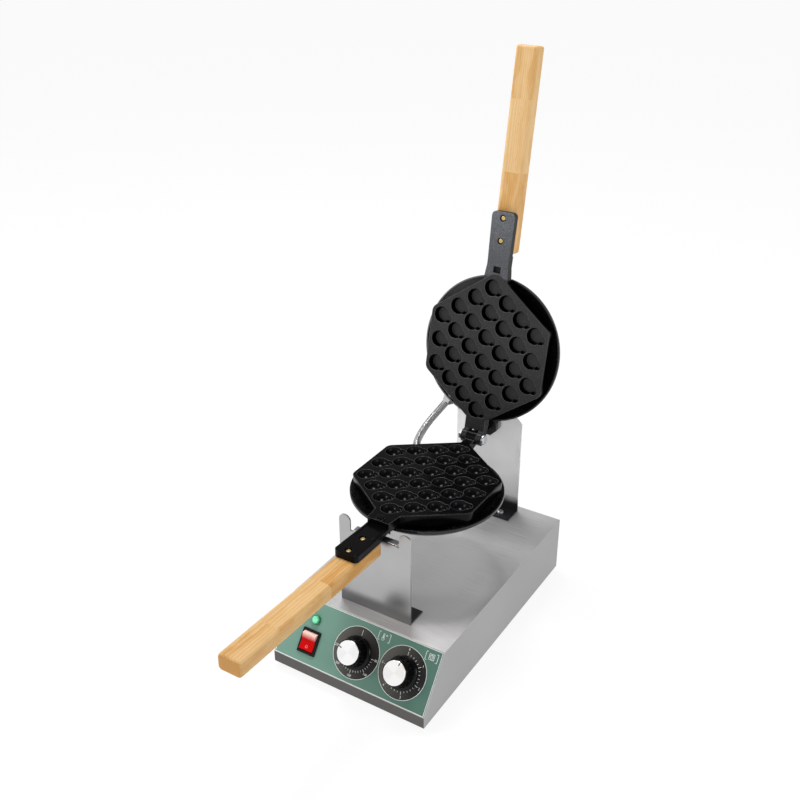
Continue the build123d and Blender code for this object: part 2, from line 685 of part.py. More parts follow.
def plate_body():
    """Slab, heater seat and the posts that carry the bowl."""
    centre = Pos(0, -PLATE_CENTRE, 0)
    body = plate_slab()
    body += centre * disc(SEAT_RADIUS, -SEAT_LOW, -PLATE_THICKNESS)
    for place in cover_post_places():
        body += Pos(*place) * disc(COVER_POST_RADIUS, -BOWL_DEPTH + BOWL_WALL, -SEAT_LOW)
        body -= Pos(*place) * disc(COVER_SCREW_RADIUS, -BOWL_DEPTH - 1, -SEAT_LOW)
    return body - heater_ring(HEATER_TUBE_RADIUS + FIT, -SEAT_LOW)


def neck_boss():
    """Flat-topped neck whose half-round underside turns in the front stand's notch."""
    start = PLATE_CENTRE + SEAT_RADIUS - 10
    end = HINGE_Y - FRONT_STAND_Y + BOSS_BEHIND_NOTCH
    section = Circle(BOSS_RADIUS) & Pos(0, -BOSS_RADIUS) * Rectangle(2 * NECK_HALF_WIDTH, 2 * BOSS_RADIUS)
    section_plane = Plane(origin=(0, -start, 0), x_dir=(1, 0, 0), z_dir=(0, -1, 0))
    return extrude(section_plane * section, end - start)


def beside_neck():
    """What would strike the front stand's notch while the neck turns in it."""
    near = HINGE_Y - FRONT_STAND_Y - NOTCH_LIP_DEPTH - 2
    far = HINGE_Y - FRONT_STAND_Y + BOSS_BEHIND_NOTCH
    return Rot(90, 0, 0) * (disc(2 * BOSS_RADIUS, near, far) - disc(BOSS_RADIUS, near - 1, far + 1))


def neck(drop):
    """Boss and pad as far as the step, cut level this far below the parting plane."""
    above = Pos(0, -NECK_START, -drop) * block(4 * NECK_HALF_WIDTH, 2 * (NECK_STEP - NECK_START) + 60, 40)
    return neck_boss() + neck_pad() - above


def neck_pad():
    """Tapering pad between the plate and the step."""
    wide = NECK_HALF_WIDTH + NECK_FLARE
    outline = Polygon(
        (-wide, -NECK_START), (wide, -NECK_START),
        (NECK_HALF_WIDTH, -NECK_STEP), (-NECK_HALF_WIDTH, -NECK_STEP),
        align=None,
    )
    return Pos(0, 0, -PARTING_GAP / 2) * extrude(outline, PLATE_THICKNESS * 0.9, dir=(0, 0, -1))


def tongue_place(drop, tilt):
    """From the step the tongue drops by drop and rises outwards by the tilt."""
    return Pos(0, -NECK_STEP, -drop) * Rot(-tilt, 0, 0)


def tongue(drop, tilt):
    length = TONGUE_END - NECK_STEP
    outline = Polygon(
        (-NECK_HALF_WIDTH, 4), (NECK_HALF_WIDTH, 4), (TONGUE_END_HALF_WIDTH, -length),
        (-TONGUE_END_HALF_WIDTH, -length),
        align=None,
    )
    outline = fillet(outline.vertices().group_by(Axis.Y)[0], TONGUE_CORNER_RADIUS)
    plate = extrude(outline, TONGUE_THICKNESS, dir=(0, 0, -1))
    plate = chamfer(plate.edges().group_by(Axis.Z)[-1], 0.6)
    for place in handle_screw_places():
        plate -= Pos(*place) * disc(HANDLE_SCREW_RADIUS + FIT, -TONGUE_THICKNESS - 1, 1)
        plate -= Pos(*place) * disc(HANDLE_SCREW_HOLE, -HANDLE_SCREW_SINK, 1)
    return tongue_place(drop, tilt) * plate


def handle_screw_places():
    """Along the tongue, from its end, in the tongue's own frame."""
    end = TONGUE_END - NECK_STEP - HANDLE_SCREW_FROM_END
    return [(0, -end, 0), (0, -end + HANDLE_SCREW_SPACING, 0)]


def lug(half_widths, reach):
    """Rounded hinge lug about the X axis, joined to the plate's underside."""
    low, high = half_widths
    side = Plane(origin=(low, 0, 0), x_dir=(0, 1, 0), z_dir=(1, 0, 0))
    eye = Circle(LUG_RADIUS)
    depth = PLATE_THICKNESS - 1
    arm = Polygon(
        (0, LUG_RADIUS * 0.55), (-LUG_SHOULDER, -PARTING_GAP / 2), (-reach, -PARTING_GAP / 2),
        (-reach, -depth), (-reach * 0.6, -depth), (0, -LUG_RADIUS),
        align=None,
    )
    return extrude(side * (eye + arm), high - low, dir=(1, 0, 0))


def hinge_bore():
    return Rot(0, 90, 0) * Cylinder(HINGE_PIN_RADIUS + RUNNING_CLEARANCE, 99)


def make_lower_plate():
    """Casting with round cavities, a stepped tongue, the hinge knuckle and the rear trunnion."""
    body = plate_body() + neck(PARTING_GAP / 2)
    body -= Pos(0, -NECK_STEP - 50, -LOWER_TONGUE_DROP + 20) * Box(90, 100, 40)
    body += tongue(LOWER_TONGUE_DROP, LOWER_TONGUE_TILT)
    top = tongue_place(LOWER_TONGUE_DROP, LOWER_TONGUE_TILT)
    rail = block(RAIL_WIDTH, RAIL_LENGTH, RAIL_HEIGHT + 1, -1)
    for side in (-1, 1):
        body += top * Pos(side * (NECK_HALF_WIDTH - 2 * RAIL_WIDTH), -RAIL_LENGTH / 2 - 1, 0) * rail
    body += Pos(0, -LUG_PLACE, -PARTING_GAP / 2) * block(LUG_WIDTH, LUG_LENGTH, LUG_HEIGHT + 1, -1)
    body -= beside_neck()
    body -= Box(80, 2 * PLATE_TRIM, 80)
    body += lug((-KNUCKLE_HALF_WIDTH, KNUCKLE_HALF_WIDTH), PLATE_TRIM + 12)
    body += Rot(-90, 0, 0) * disc(KNUCKLE_HALF_WIDTH, 0, TRUNNION_LENGTH)
    body -= hinge_bore()
    body -= Rot(-90, 0, 0) * disc(SHAFT_SPIGOT_RADIUS, TRUNNION_LENGTH - SHAFT_SPIGOT, TRUNNION_LENGTH + 1)
    for x, y in cavity_places():
        body -= Pos(x, y, 0) * round_cavity()
    return lower_place(body)


def make_upper_plate():
    """Casting with flat-floored cavities, a plain tongue, a recess for the lug and a hinge fork."""
    body = plate_body() + neck(UPPER_TONGUE_DROP)
    body -= Pos(0, -NECK_STEP - 50, -UPPER_TONGUE_DROP + 20) * Box(90, 100, 40)
    body += tongue(UPPER_TONGUE_DROP, UPPER_TONGUE_TILT)
    recess = block(
        LUG_WIDTH + 2 * LUG_CLEARANCE, LUG_LENGTH + 2 * LUG_CLEARANCE, LUG_RECESS_DEPTH + 1, -LUG_RECESS_DEPTH
    )
    body -= Pos(0, -LUG_PLACE, 0) * recess
    body -= beside_neck()
    body -= Box(80, 2 * PLATE_TRIM, 80)
    low = KNUCKLE_HALF_WIDTH + FORK_GAP
    high = low + FORK_THICKNESS
    body += lug((low, high), PLATE_TRIM + 12) + lug((-high, -low), PLATE_TRIM + 12)
    web = PLATE_TRIM + 2 - LUG_SHOULDER - FACE_CLEARANCE
    place = Pos(0, -PLATE_TRIM - 2 + web / 2, -PARTING_GAP / 2)
    body += place * block(2 * low, web, PLATE_THICKNESS - 1, 1 - PLATE_THICKNESS)
    body -= hinge_bore()
    for x, y in cavity_places():
        body -= Pos(x, y, 0) * flat_cavity()
    return upper_place(body)


def gland_place(angle):
    """Z runs outwards from the bowl's centre, towards the hinge and to the left."""
    return Pos(0, -PLATE_CENTRE, -GLAND_DEPTH) * Rot(0, 0, angle) * Rot(-90, 0, 0)


def bowl(gland_angle):
    """Shallow spun dish: upright rim, curved shoulder, flat floor."""
    shoulder = BOWL_RIM_DEPTH + BOWL_RIM_WIDTH
    outer = make_face(
        Polyline(
            (0, -BOWL_DEPTH), (0, -BOWL_RIM_DEPTH), (BOWL_RADIUS, -BOWL_RIM_DEPTH), (BOWL_RADIUS, -shoulder)
        )
        + bowl_shoulder(0)
        + Polyline((BOWL_FLOOR_RADIUS, -BOWL_DEPTH), (0, -BOWL_DEPTH))
    )
    inner_top = -BOWL_RIM_DEPTH + 1
    inner = make_face(
        Polyline(
            (0, -BOWL_DEPTH + BOWL_WALL), (0, inner_top), (BOWL_RADIUS - BOWL_WALL, inner_top),
            (BOWL_RADIUS - BOWL_WALL, -shoulder),
        )
        + bowl_shoulder(BOWL_WALL)
        + Polyline((BOWL_FLOOR_RADIUS, -BOWL_DEPTH + BOWL_WALL), (0, -BOWL_DEPTH + BOWL_WALL))
    )
    shell = revolve(Plane.XZ * outer, Axis.Z) - revolve(Plane.XZ * inner, Axis.Z)
    shell = Pos(0, -PLATE_CENTRE, 0) * shell
    for place in cover_post_places():
        shell -= Pos(*place) * disc(COVER_SCREW_RADIUS + FIT, -BOWL_DEPTH - 1, -BOWL_DEPTH + BOWL_WALL + 1)
    shell -= Pos(0, -PLATE_CENTRE - BOWL_RADIUS, 0) * neck_clearance()
    return shell - gland_place(gland_angle) * disc(GLAND_RADIUS + FIT, SEAT_RADIUS, GLAND_REACH)


def bowl_shoulder(inset):
    """Curve from the rim down to the floor, drawn inset by the wall."""
    shoulder = BOWL_RIM_DEPTH + BOWL_RIM_WIDTH
    start = (BOWL_RADIUS - inset, -shoulder)
    end = (BOWL_FLOOR_RADIUS, -BOWL_DEPTH + inset)
    middle = (
        (BOWL_RADIUS + BOWL_FLOOR_RADIUS) / 2 + 3 - inset * 0.8,
        -(shoulder + BOWL_DEPTH) / 2 - 2.2 + inset * 0.8,
    )
    return ThreePointArc(start, middle, end)


def neck_clearance():
    """Room in the rim for the neck where it leaves the pan."""
    depth = BOSS_RADIUS + FACE_CLEARANCE
    return block(2 * (NECK_HALF_WIDTH + FACE_CLEARANCE), 30, depth, -depth)


def make_cover_screws():
    screw = Pos(0, 0, -BOWL_DEPTH) * Rot(180, 0, 0) * pan_head(COVER_SCREW_HEAD, COVER_SCREW_HEAD_HEIGHT)
    screw += disc(COVER_SCREW_RADIUS, -BOWL_DEPTH, -BOWL_DEPTH + COVER_SCREW_LENGTH)
    return spread(screw, cover_post_places())


def hose_gland(angle):
    """Threaded collar through the bowl's wall with a nut outside it."""
    low = SEAT_RADIUS + 2
    body = disc(GLAND_RADIUS, low, GLAND_REACH)
    body += Pos(0, 0, BOWL_RADIUS + FIT) * extrude(RegularPolygon(GLAND_NUT_RADIUS, 6), GLAND_NUT_LENGTH)
    return gland_place(angle) * (body - disc(HOSE_BORE_RADIUS, low - 1, GLAND_REACH + 1))


def handle(drop, tilt):
    """Straight grained-wood bar with rounded edges, screwed flat under the tongue."""
    near = HANDLE_START - NECK_STEP
    length = HANDLE_END - HANDLE_START
    bar = block(HANDLE_WIDTH, length, HANDLE_THICKNESS, -TONGUE_THICKNESS - HANDLE_THICKNESS)
    bar = fillet(bar.edges().filter_by(Axis.Y), HANDLE_EDGE_RADIUS)
    bar = fillet(bar.edges().group_by(Axis.Y)[0] + bar.edges().group_by(Axis.Y)[-1], HANDLE_END_RADIUS)
    low = -TONGUE_THICKNESS - HANDLE_THICKNESS
    nose = Pos(0, length / 2, low) * Box(HANDLE_WIDTH + 2, 2 * HANDLE_NOSE_RADIUS, 2 * HANDLE_NOSE_RADIUS)
    bend = Pos(0, length / 2 - HANDLE_NOSE_RADIUS, low + HANDLE_NOSE_RADIUS) * Rot(0, 90, 0)
    bar -= nose - bend * Cylinder(HANDLE_NOSE_RADIUS, HANDLE_WIDTH + 4)
    bar = Pos(0, -near - length / 2, 0) * bar
    for place in handle_screw_places():
        bar -= Pos(*place) * disc(HANDLE_SCREW_RADIUS, -HANDLE_SCREW_LENGTH, 1)
    return tongue_place(drop, tilt) * bar


def handle_screws(drop, tilt):
    screw = Pos(0, 0, -HANDLE_SCREW_SINK) * pan_head(HANDLE_SCREW_HEAD, HANDLE_SCREW_HEAD_HEIGHT)
    screw += disc(HANDLE_SCREW_RADIUS, -HANDLE_SCREW_LENGTH, -HANDLE_SCREW_SINK)
    return tongue_place(drop, tilt) * spread(screw, handle_screw_places())


# Hinge pin, turning shaft, bush and nuts

PIN_HALF = KNUCKLE_HALF_WIDTH + FORK_GAP + FORK_THICKNESS + FACE_CLEARANCE


def make_hinge_bolt():
    bolt = disc(HINGE_PIN_RADIUS, -PIN_HALF - HINGE_PIN_HEAD - 1, PIN_HALF)
    bolt += Pos(0, 0, PIN_HALF) * pan_head(HINGE_PIN_HEAD_RADIUS, HINGE_PIN_HEAD)
    return lower_place(Rot(0, 90, 0) * bolt)


def make_hinge_nut():
    nut = extrude(RegularPolygon(HINGE_PIN_HEAD_RADIUS, 6), HINGE_PIN_HEAD) - disc(HINGE_PIN_RADIUS, -1, 9)
    return lower_place(Rot(0, 90, 0) * Pos(0, 0, -PIN_HALF - HINGE_PIN_HEAD) * nut)


def along_axis(shape):
    """Z of the shape runs back along the turning axis from the rear stand's front face."""
    return Pos(0, REAR_STAND_Y, AXIS_HEIGHT) * Rot(-90, 0, 0) * shape


FLANGE_BACK = -BUSH_FLANGE - FACE_CLEARANCE
BUSH_BACK = STAND_SHEET + 0.8


def make_turning_shaft():
    """Round shaft with an eight-sided shoulder, spigoted into the casting's trunnion."""
    trunnion_end = HINGE_Y + TRUNNION_LENGTH - REAR_STAND_Y
    flange = Pos(0, 0, FLANGE_BACK - SHAFT_FLANGE_THICKNESS) * Rot(0, 0, 22.5) * extrude(
        RegularPolygon(SHAFT_FLANGE_RADIUS, 8), SHAFT_FLANGE_THICKNESS
    )
    flange = chamfer(flange.edges().group_by(Axis.Z)[0], 1)
    shaft = disc(SHAFT_RADIUS, trunnion_end, BUSH_BACK + FACE_CLEARANCE + SHAFT_WASHER + SHAFT_NUT + 1)
    spigot = disc(SHAFT_SPIGOT_RADIUS, trunnion_end - SHAFT_SPIGOT, trunnion_end)
    return along_axis(shaft + flange + spigot)


def make_pivot_bush():
    radius = SHAFT_RADIUS + BUSH_WALL
    bush = disc(radius, -BUSH_FLANGE, BUSH_BACK) + disc(BUSH_FLANGE_RADIUS, -BUSH_FLANGE, 0)
    return along_axis(bush - disc(SHAFT_RADIUS + RUNNING_CLEARANCE, -9, 19))


def make_shaft_washer():
    low = BUSH_BACK + FACE_CLEARANCE
    return along_axis(disc(BUSH_FLANGE_RADIUS, low, low + SHAFT_WASHER) - disc(SHAFT_RADIUS, -9, 29))


def make_shaft_nut():
    low = BUSH_BACK + FACE_CLEARANCE + SHAFT_WASHER
    nut = Pos(0, 0, low) * extrude(RegularPolygon(SHAFT_RADIUS * 1.7, 6), SHAFT_NUT)
    return along_axis(nut - disc(SHAFT_RADIUS, -9, 29))


# Flexible hose: its route, then its ribs

def gland_mouth(pan_place, angle):
    """Centre of a gland's mouth and the way it points, once the pan is in place."""
    marks = pan_place(gland_place(angle) * Line((0, 0, GLAND_REACH), (0, 0, GLAND_REACH + 1)))
    return marks @ 0, marks % 0


def hose_route():
    """Six points: square out of each gland, and bowed away from the hinge in between."""
    start, out = gland_mouth(lower_place, LOWER_GLAND_ANGLE)
    end, back = gland_mouth(upper_place, UPPER_GLAND_ANGLE)
    first = start + out * HOSE_LEAD
    last = end + back * HOSE_LEAD
    bow = (out + back).normalized() * HOSE_BULGE
    return [
        start,
        first,
        first * 0.66 + last * 0.34 + bow,
        first * 0.34 + last * 0.66 + bow,
        last,
        end,
    ]


def hose_path(points):
    """Straight runs joined by arcs as large as the runs beside them allow."""
    radii = []
    for before, here, after in zip(points, points[1:], points[2:]):
        turn = math.radians((here - before).get_angle(after - here))
        shorter = min((here - before).length, (after - here).length)
        radii.append(0.45 * shorter / math.tan(turn / 2))
    print("hose radii", [round(radius, 1) for radius in radii])
    return FilletPolyline(*points, radius=radii)


def make_hose():
    """Corrugated tube with a plain bore, its ribs evenly spaced along the route."""
    points = hose_route()
    path = hose_path(points)
    steady = (points[1] - points[0]).cross(points[-1] - points[-2])
    circles = []
    for rib in range(HOSE_RIBS):
        for share, radius in (
            (0.0, HOSE_ROOT_RADIUS),
            (0.2, HOSE_ROOT_RADIUS),
            (0.45, HOSE_RADIUS),
            (0.75, HOSE_RADIUS),
        ):
            at = (rib + share) / HOSE_RIBS
            circles.append(Plane(origin=path @ at, x_dir=steady, z_dir=path % at) * Circle(radius))
    circles.append(Plane(origin=path @ 1, x_dir=steady, z_dir=path % 1) * Circle(HOSE_ROOT_RADIUS))
    tube = loft(circles, ruled=True)
    bore = sweep(Plane(origin=path @ 0, x_dir=steady, z_dir=path % 0) * Circle(HOSE_BORE_RADIUS), path)
    print("hose length", round(path.length, 1), "tube volume", round(tube.volume))
    return tube - bore


def make_parts():
    """Every piece by name, in the building axes."""
    lower = (LOWER_TONGUE_DROP, LOWER_TONGUE_TILT)
    upper = (UPPER_TONGUE_DROP, UPPER_TONGUE_TILT)
    heater = heater_ring(HEATER_TUBE_RADIUS, -SEAT_LOW)
    return {
        "base_shell": make_base_shell(),
        "bottom_plate": make_bottom_plate(),
        "bottom_screws": make_bottom_screws(),
        "rubber_feet": make_rubber_feet(),
        "foot_screws": make_foot_screws(),
        "panel_overlay": make_panel_overlay(),
        "lamp_lens": make_lamp_lens(),
        "lamp_nut": make_lamp_nut(),
        "rocker_housing": make_rocker_housing(),
        "rocker": make_rocker(),
        "thermostat_body": make_thermostat_body(),
        "thermostat_spindle": make_spindle(TEMPERATURE_X, REGULATOR_DEPTH),
        "temperature_knob": make_knob(TEMPERATURE_X),
        "temperature_knob_cap": make_knob_cap(TEMPERATURE_X),
        "timer_body": make_timer_body(),
        "timer_spindle": make_spindle(TIMER_X, TIMER_DEPTH),
        "timer_knob": make_knob(TIMER_X),
        "timer_knob_cap": make_knob_cap(TIMER_X),
        "terminal_block": make_terminal_block(),
        "inlet_gland": make_inlet_gland(),
        "inlet_nut": make_inlet_nut(),
        "front_stand": make_front_stand(),
        "front_stand_screws": make_stand_screws(FRONT_SCREW_Y),
        "front_stand_nuts": make_stand_nuts(FRONT_SCREW_Y),
        "rear_stand": make_rear_stand(),
        "rear_stand_screws": make_stand_screws(REAR_SCREW_Y),
        "rear_stand_nuts": make_stand_nuts(REAR_SCREW_Y),
        "pivot_bush": make_pivot_bush(),
        "turning_shaft": make_turning_shaft(),
        "shaft_washer": make_shaft_washer(),
        "shaft_nut": make_shaft_nut(),
        "lower_plate": make_lower_plate(),
        "lower_bowl": lower_place(bowl(LOWER_GLAND_ANGLE)),
        "lower_heater": lower_place(heater),
        "lower_cover_screws": lower_place(make_cover_screws()),
        "lower_hose_gland": lower_place(hose_gland(LOWER_GLAND_ANGLE)),
        "lower_handle": lower_place(handle(*lower)),
        "lower_handle_screws": lower_place(handle_screws(*lower)),
        "hinge_bolt": make_hinge_bolt(),
        "hinge_nut": make_hinge_nut(),
        "upper_plate": make_upper_plate(),
        "upper_bowl": upper_place(bowl(UPPER_GLAND_ANGLE)),
        "upper_heater": upper_place(heater),
        "upper_cover_screws": upper_place(make_cover_screws()),
        "upper_hose_gland": upper_place(hose_gland(UPPER_GLAND_ANGLE)),
        "upper_handle": upper_place(handle(*upper)),
        "upper_handle_screws": upper_place(handle_screws(*upper)),
        "hose": make_hose(),
    }


def bottom_centre(parts):
    """Middle of the standing outline of all pieces but the hose, at floor level."""
    boxes = [shape.bounding_box() for name, shape in parts.items() if name != "hose"]
    lows = [min(box.min.X for box in boxes), min(box.min.Y for box in boxes), min(box.min.Z for box in boxes)]
    highs = [max(box.max.X for box in boxes), max(box.max.Y for box in boxes)]
    return Vector((lows[0] + highs[0]) / 2, (lows[1] + highs[1]) / 2, lows[2])


pieces = make_parts()
origin = bottom_centre(pieces)
os.makedirs("parts", exist_ok=True)
for node, shape in pieces.items():
    export_step(Pos(-origin.X, -origin.Y, -origin.Z) * shape, f"parts/{node}.step")
print("origin", origin)
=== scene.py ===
"""Electric turning iron for bubble waffles, standing open.

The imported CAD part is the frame: its castings, sheet metal, wood, knobs and screws keep their meshes and
get their finishes here. The hose and everything printed on the panel are made here, as surfaces worked
out with numpy. Sizes are in metres, in the CAD part's own frame. On the panel's slope they are in
millimetres: across it from its middle, up it from its lower edge, and out of it.
"""

import math

import bpy
import numpy as np
from mathutils import Matrix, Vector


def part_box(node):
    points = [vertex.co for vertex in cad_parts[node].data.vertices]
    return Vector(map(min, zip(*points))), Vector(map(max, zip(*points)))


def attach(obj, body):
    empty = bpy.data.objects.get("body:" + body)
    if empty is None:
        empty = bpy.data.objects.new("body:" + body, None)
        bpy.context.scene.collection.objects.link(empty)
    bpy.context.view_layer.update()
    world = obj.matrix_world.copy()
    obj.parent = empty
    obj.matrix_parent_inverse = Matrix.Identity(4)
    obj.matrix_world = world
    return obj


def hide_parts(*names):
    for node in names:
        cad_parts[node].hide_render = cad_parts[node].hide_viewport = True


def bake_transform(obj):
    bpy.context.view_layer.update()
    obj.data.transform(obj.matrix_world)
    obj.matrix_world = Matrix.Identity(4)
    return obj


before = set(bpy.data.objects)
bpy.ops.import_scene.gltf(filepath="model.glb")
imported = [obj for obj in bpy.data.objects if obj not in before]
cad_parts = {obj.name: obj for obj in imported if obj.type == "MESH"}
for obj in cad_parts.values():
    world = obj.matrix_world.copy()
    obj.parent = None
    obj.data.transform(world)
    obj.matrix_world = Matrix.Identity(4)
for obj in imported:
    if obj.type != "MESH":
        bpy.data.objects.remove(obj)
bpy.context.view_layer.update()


# Studio
# The camera stands in front of the iron, to its right and above it, where it was fitted to the base's
# corners in the photograph. A white floor keeps a soft shadow. The room is white, but metal sees it darken
# upwards, and three soft lamps hang in it.

class Value:
    """A number or vector that a finish works out over a surface; sums on it become nodes."""

    def __init__(self, finish, socket):
        self.finish, self.socket = finish, socket

    def sum(self, operation, *values):
        """What a Math node's operation makes of one, two or three numbers."""
        return self.finish.node("ShaderNodeMath", {"operation": operation}, dict(enumerate(values)))

    def __add__(self, other):
        return self.sum("ADD", self, other)

    def __sub__(self, other):
        return self.sum("SUBTRACT", self, other)

    def __mul__(self, other):
        return self.sum("MULTIPLY", self, other)

    def __rsub__(self, other):
        return self.sum("SUBTRACT", other, self)

    __radd__ = __add__
    __rmul__ = __mul__

    def part(self, axis):
        """The X, Y or Z of a vector."""
        return self.finish.node("ShaderNodeSeparateXYZ", None, {0: self}, axis)

    def dot(self, other):
        """The dot product of two vectors."""
        return self.finish.node(
            "ShaderNodeVectorMath", {"operation": "DOT_PRODUCT"}, {0: self, 1: other}, "Value"
        )

    def length(self, kept):
        """A vector's length, in which only the axes kept with a 1 count."""
        flat = self.finish.node("ShaderNodeVectorMath", {"operation": "MULTIPLY"}, {0: self, 1: kept})
        return self.finish.node("ShaderNodeVectorMath", {"operation": "LENGTH"}, {0: flat}, "Value")


class Finish:
    """The finish of one material, built node by node."""

    def __init__(self, name, owner=None):
        self.owner = owner or bpy.data.materials.new(name)
        self.owner.use_nodes = True
        self.tree = self.owner.node_tree
        self.tree.nodes.clear()

    def node(self, kind, settings=None, inputs=None, out=0):
        """Add a node: its settings first, then the values or links of its sockets. The setting stops holds
        the places and colours of a Color Ramp."""
        made = self.tree.nodes.new(kind)
        for name, setting in (settings or {}).items():
            if name == "stops":
                while len(made.color_ramp.elements) < len(setting):
                    made.color_ramp.elements.new(1.0)
                for element, (place, colour) in zip(made.color_ramp.elements, setting):
                    element.position, element.color = place, colour
            else:
                setattr(made, name, setting)
        for name, value in (inputs or {}).items():
            if isinstance(value, Value):
                self.tree.links.new(value.socket, made.inputs[name])
            else:
                made.inputs[name].default_value = value
        return Value(self, made.outputs[out]) if len(made.outputs) else None


def colour(red, green, blue):
    """A colour given as it looks, in 0 to 255, as the linear numbers that shaders use."""
    seen = np.array([red, green, blue]) / 255
    linear = np.where(seen <= 0.04045, seen / 12.92, ((seen + 0.055) / 1.055) ** 2.4)
    return (*(float(part) for part in linear), 1.0)


def unit(vectors):
    """Vectors, one in each row, brought to length 1."""
    return vectors / np.linalg.norm(vectors, axis=-1, keepdims=True)


def stepped(value, low, high):
    """0 below low, 1 above high, and smooth between."""
    return value.finish.node(
        "ShaderNodeMapRange", {"interpolation_type": "SMOOTHSTEP"},
        {"Value": value, "From Min": low, "From Max": high},
    )


def seen_directly(finish):
    """1 where the camera, a mirror or glass sees the surface, and 0 where it only lights others."""
    rays = [finish.node("ShaderNodeLightPath", None, None, f"Is {way} Ray") for way in
            ("Camera", "Glossy", "Transmission")]
    return rays[0].sum("MINIMUM", rays[0] + rays[1] + rays[2], 1.0)


CAMERA_PLACE = (0.560833, -0.884116, 0.906976)
CAMERA_TURN, CAMERA_DIP, CAMERA_ROLL = 32.239, 27.732, -0.2017
CAMERA_LENS = 46.353

camera = bpy.data.objects.new("camera", bpy.data.cameras.new("camera"))
camera.data.sensor_width = 36.0
camera.data.lens = CAMERA_LENS
camera.data.clip_start, camera.data.clip_end = 0.05, 200.0
camera.matrix_world = (
    Matrix.Translation(CAMERA_PLACE)
    @ Matrix.Rotation(math.radians(CAMERA_TURN), 4, "Z")
    @ Matrix.Rotation(math.radians(90 - CAMERA_DIP), 4, "X")
    @ Matrix.Rotation(math.radians(CAMERA_ROLL), 4, "Z")
)
bpy.context.scene.collection.objects.link(camera)
bpy.context.scene.camera = camera
bpy.context.scene.view_settings.view_transform = "Standard"

ROOM_LIGHT, UPPER_WALL_LOSS, CEILING_LOSS = 0.62, 0.5, 0.38

room = bpy.context.scene.world or bpy.data.worlds.new("room")
bpy.context.scene.world = room
room_finish = Finish("room", room)
toward = room_finish.node("ShaderNodeTexCoord", None, None, "Generated")
rise = toward.part("Z") + 0.2 * toward.part("Y")
upper_wall, ceiling = stepped(rise, 0.2, 0.42), stepped(rise, 0.45, 0.85)
mirrored = room_finish.node("ShaderNodeLightPath", None, None, "Is Glossy Ray")
room_strength = ROOM_LIGHT + (1 - ROOM_LIGHT) * seen_directly(room_finish) - mirrored * (
    UPPER_WALL_LOSS * upper_wall + CEILING_LOSS * ceiling)
room_light = room_finish.node(
    "ShaderNodeBackground", None, {"Color": (1, 1, 1, 1), "Strength": room_strength}
)
room_finish.node("ShaderNodeOutputWorld", None, {"Surface": room_light})

for name, place, aim, size, power in (
    ("lamp_over", (-0.5, 0.5, 2.3), (0, 0.05, 0.2), 0.65, 29.0),
    ("lamp_left", (-1.9, -1.3, 1.7), (0, 0, 0.2), 0.55, 16.0),
    ("lamp_right", (2.2, -0.4, 1.5), (0, 0, 0.2), 0.8, 9.0),
):
    lamp = bpy.data.objects.new(name, bpy.data.lights.new(name, "AREA"))
    lamp.data.size, lamp.data.energy = size, power
    back = unit(np.array(place) - aim)
    across = unit(np.cross((0, 0, 1), back))
    turn = np.eye(4)
    turn[:3, :3] = np.stack([across, np.cross(back, across), back], axis=1)
    turn[:3, 3] = place
    lamp.matrix_world = Matrix(turn.tolist())
    bpy.context.scene.collection.objects.link(lamp)


def piece(name, points, faces, material, smooth=False):
    """A mesh object at the origin from an array of points (n, 3) and lists of faces."""
    mesh = bpy.data.meshes.new(name)
    mesh.from_pydata(np.asarray(points).reshape(-1, 3).tolist(), [], faces)
    mesh.polygons.foreach_set("use_smooth", np.full(len(mesh.polygons), smooth))
    mesh.materials.append(material)
    made = bpy.data.objects.new(name, mesh)
    bpy.context.scene.collection.objects.link(made)
    return made


FLOOR_HALF, FLOOR_Z, FLOOR_GLOW = 30, -0.0003, 0.88

floor_finish = Finish("floor_white")
floor_lit = floor_finish.node("ShaderNodeBsdfDiffuse", None, {"Color": (1, 1, 1, 1)})
floor_white = floor_finish.node("ShaderNodeEmission", None, {"Color": (1, 1, 1, 1), "Strength": 1.0})
floor_mix = floor_finish.node(
    "ShaderNodeMixShader", None,
    {0: FLOOR_GLOW * seen_directly(floor_finish), 1: floor_lit, 2: floor_white},
)
floor_finish.node("ShaderNodeOutputMaterial", None, {"Surface": floor_mix})
floor_corners = [
    (x * FLOOR_HALF, y * FLOOR_HALF, FLOOR_Z) for x, y in ((-1, -1), (1, -1), (1, 1), (-1, 1))
]
floor = piece("floor", floor_corners, [(0, 1, 2, 3)], floor_finish.owner)


# Base shell and bottom plate
# A box folded from 1.2 mm stainless sheet, open below, with a sloping front, closed by a screwed bottom
# plate with air slots. The sheet is brushed across the top and down the walls. The top, the walls and the
# sloping front are painted in their own shades, painted light and shade, and a painted sheen brightens
# the middle of the top.

def pattern(finish, size, centre=(0, 0, 0), turn=(0, 0, 0)):
    """Object coordinates seen from a centre, turned, and counted in steps of the pattern's size."""
    place = finish.node("ShaderNodeTexCoord", None, None, "Object")
    return finish.node(
        "ShaderNodeMapping", {"vector_type": "TEXTURE"},
        {"Vector": place, "Location": centre, "Rotation": turn, "Scale": size},
    )


def cloud(finish, where, detail=2.0, strength=0.5):
    """Soft noise from 0 to 1 over a pattern."""
    return finish.node(
        "ShaderNodeTexNoise", None, {"Vector": where, "Scale": 1.0, "Detail": detail, "Roughness": strength}
    )


def even_cloud(finish, size, detail=2.0, strength=0.5):
    """Soft noise of the same size along every axis."""
    return cloud(finish, pattern(finish, (size, size, size)), detail, strength)


def blended(finish, share, first, second):
    """A colour between two, by a share from 0 to 1."""
    return finish.node("ShaderNodeMix", {"data_type": "RGBA"}, {0: share, 6: first, 7: second}, 2)


def bumped(finish, height, distance, strength=1.0, normal=None):
    """A normal bent by a height from 0 to 1 that stands for a real distance."""
    inputs = {"Height": height, "Distance": distance, "Strength": strength}
    if normal is not None:
        inputs["Normal"] = normal
    return finish.node("ShaderNodeBump", None, inputs)


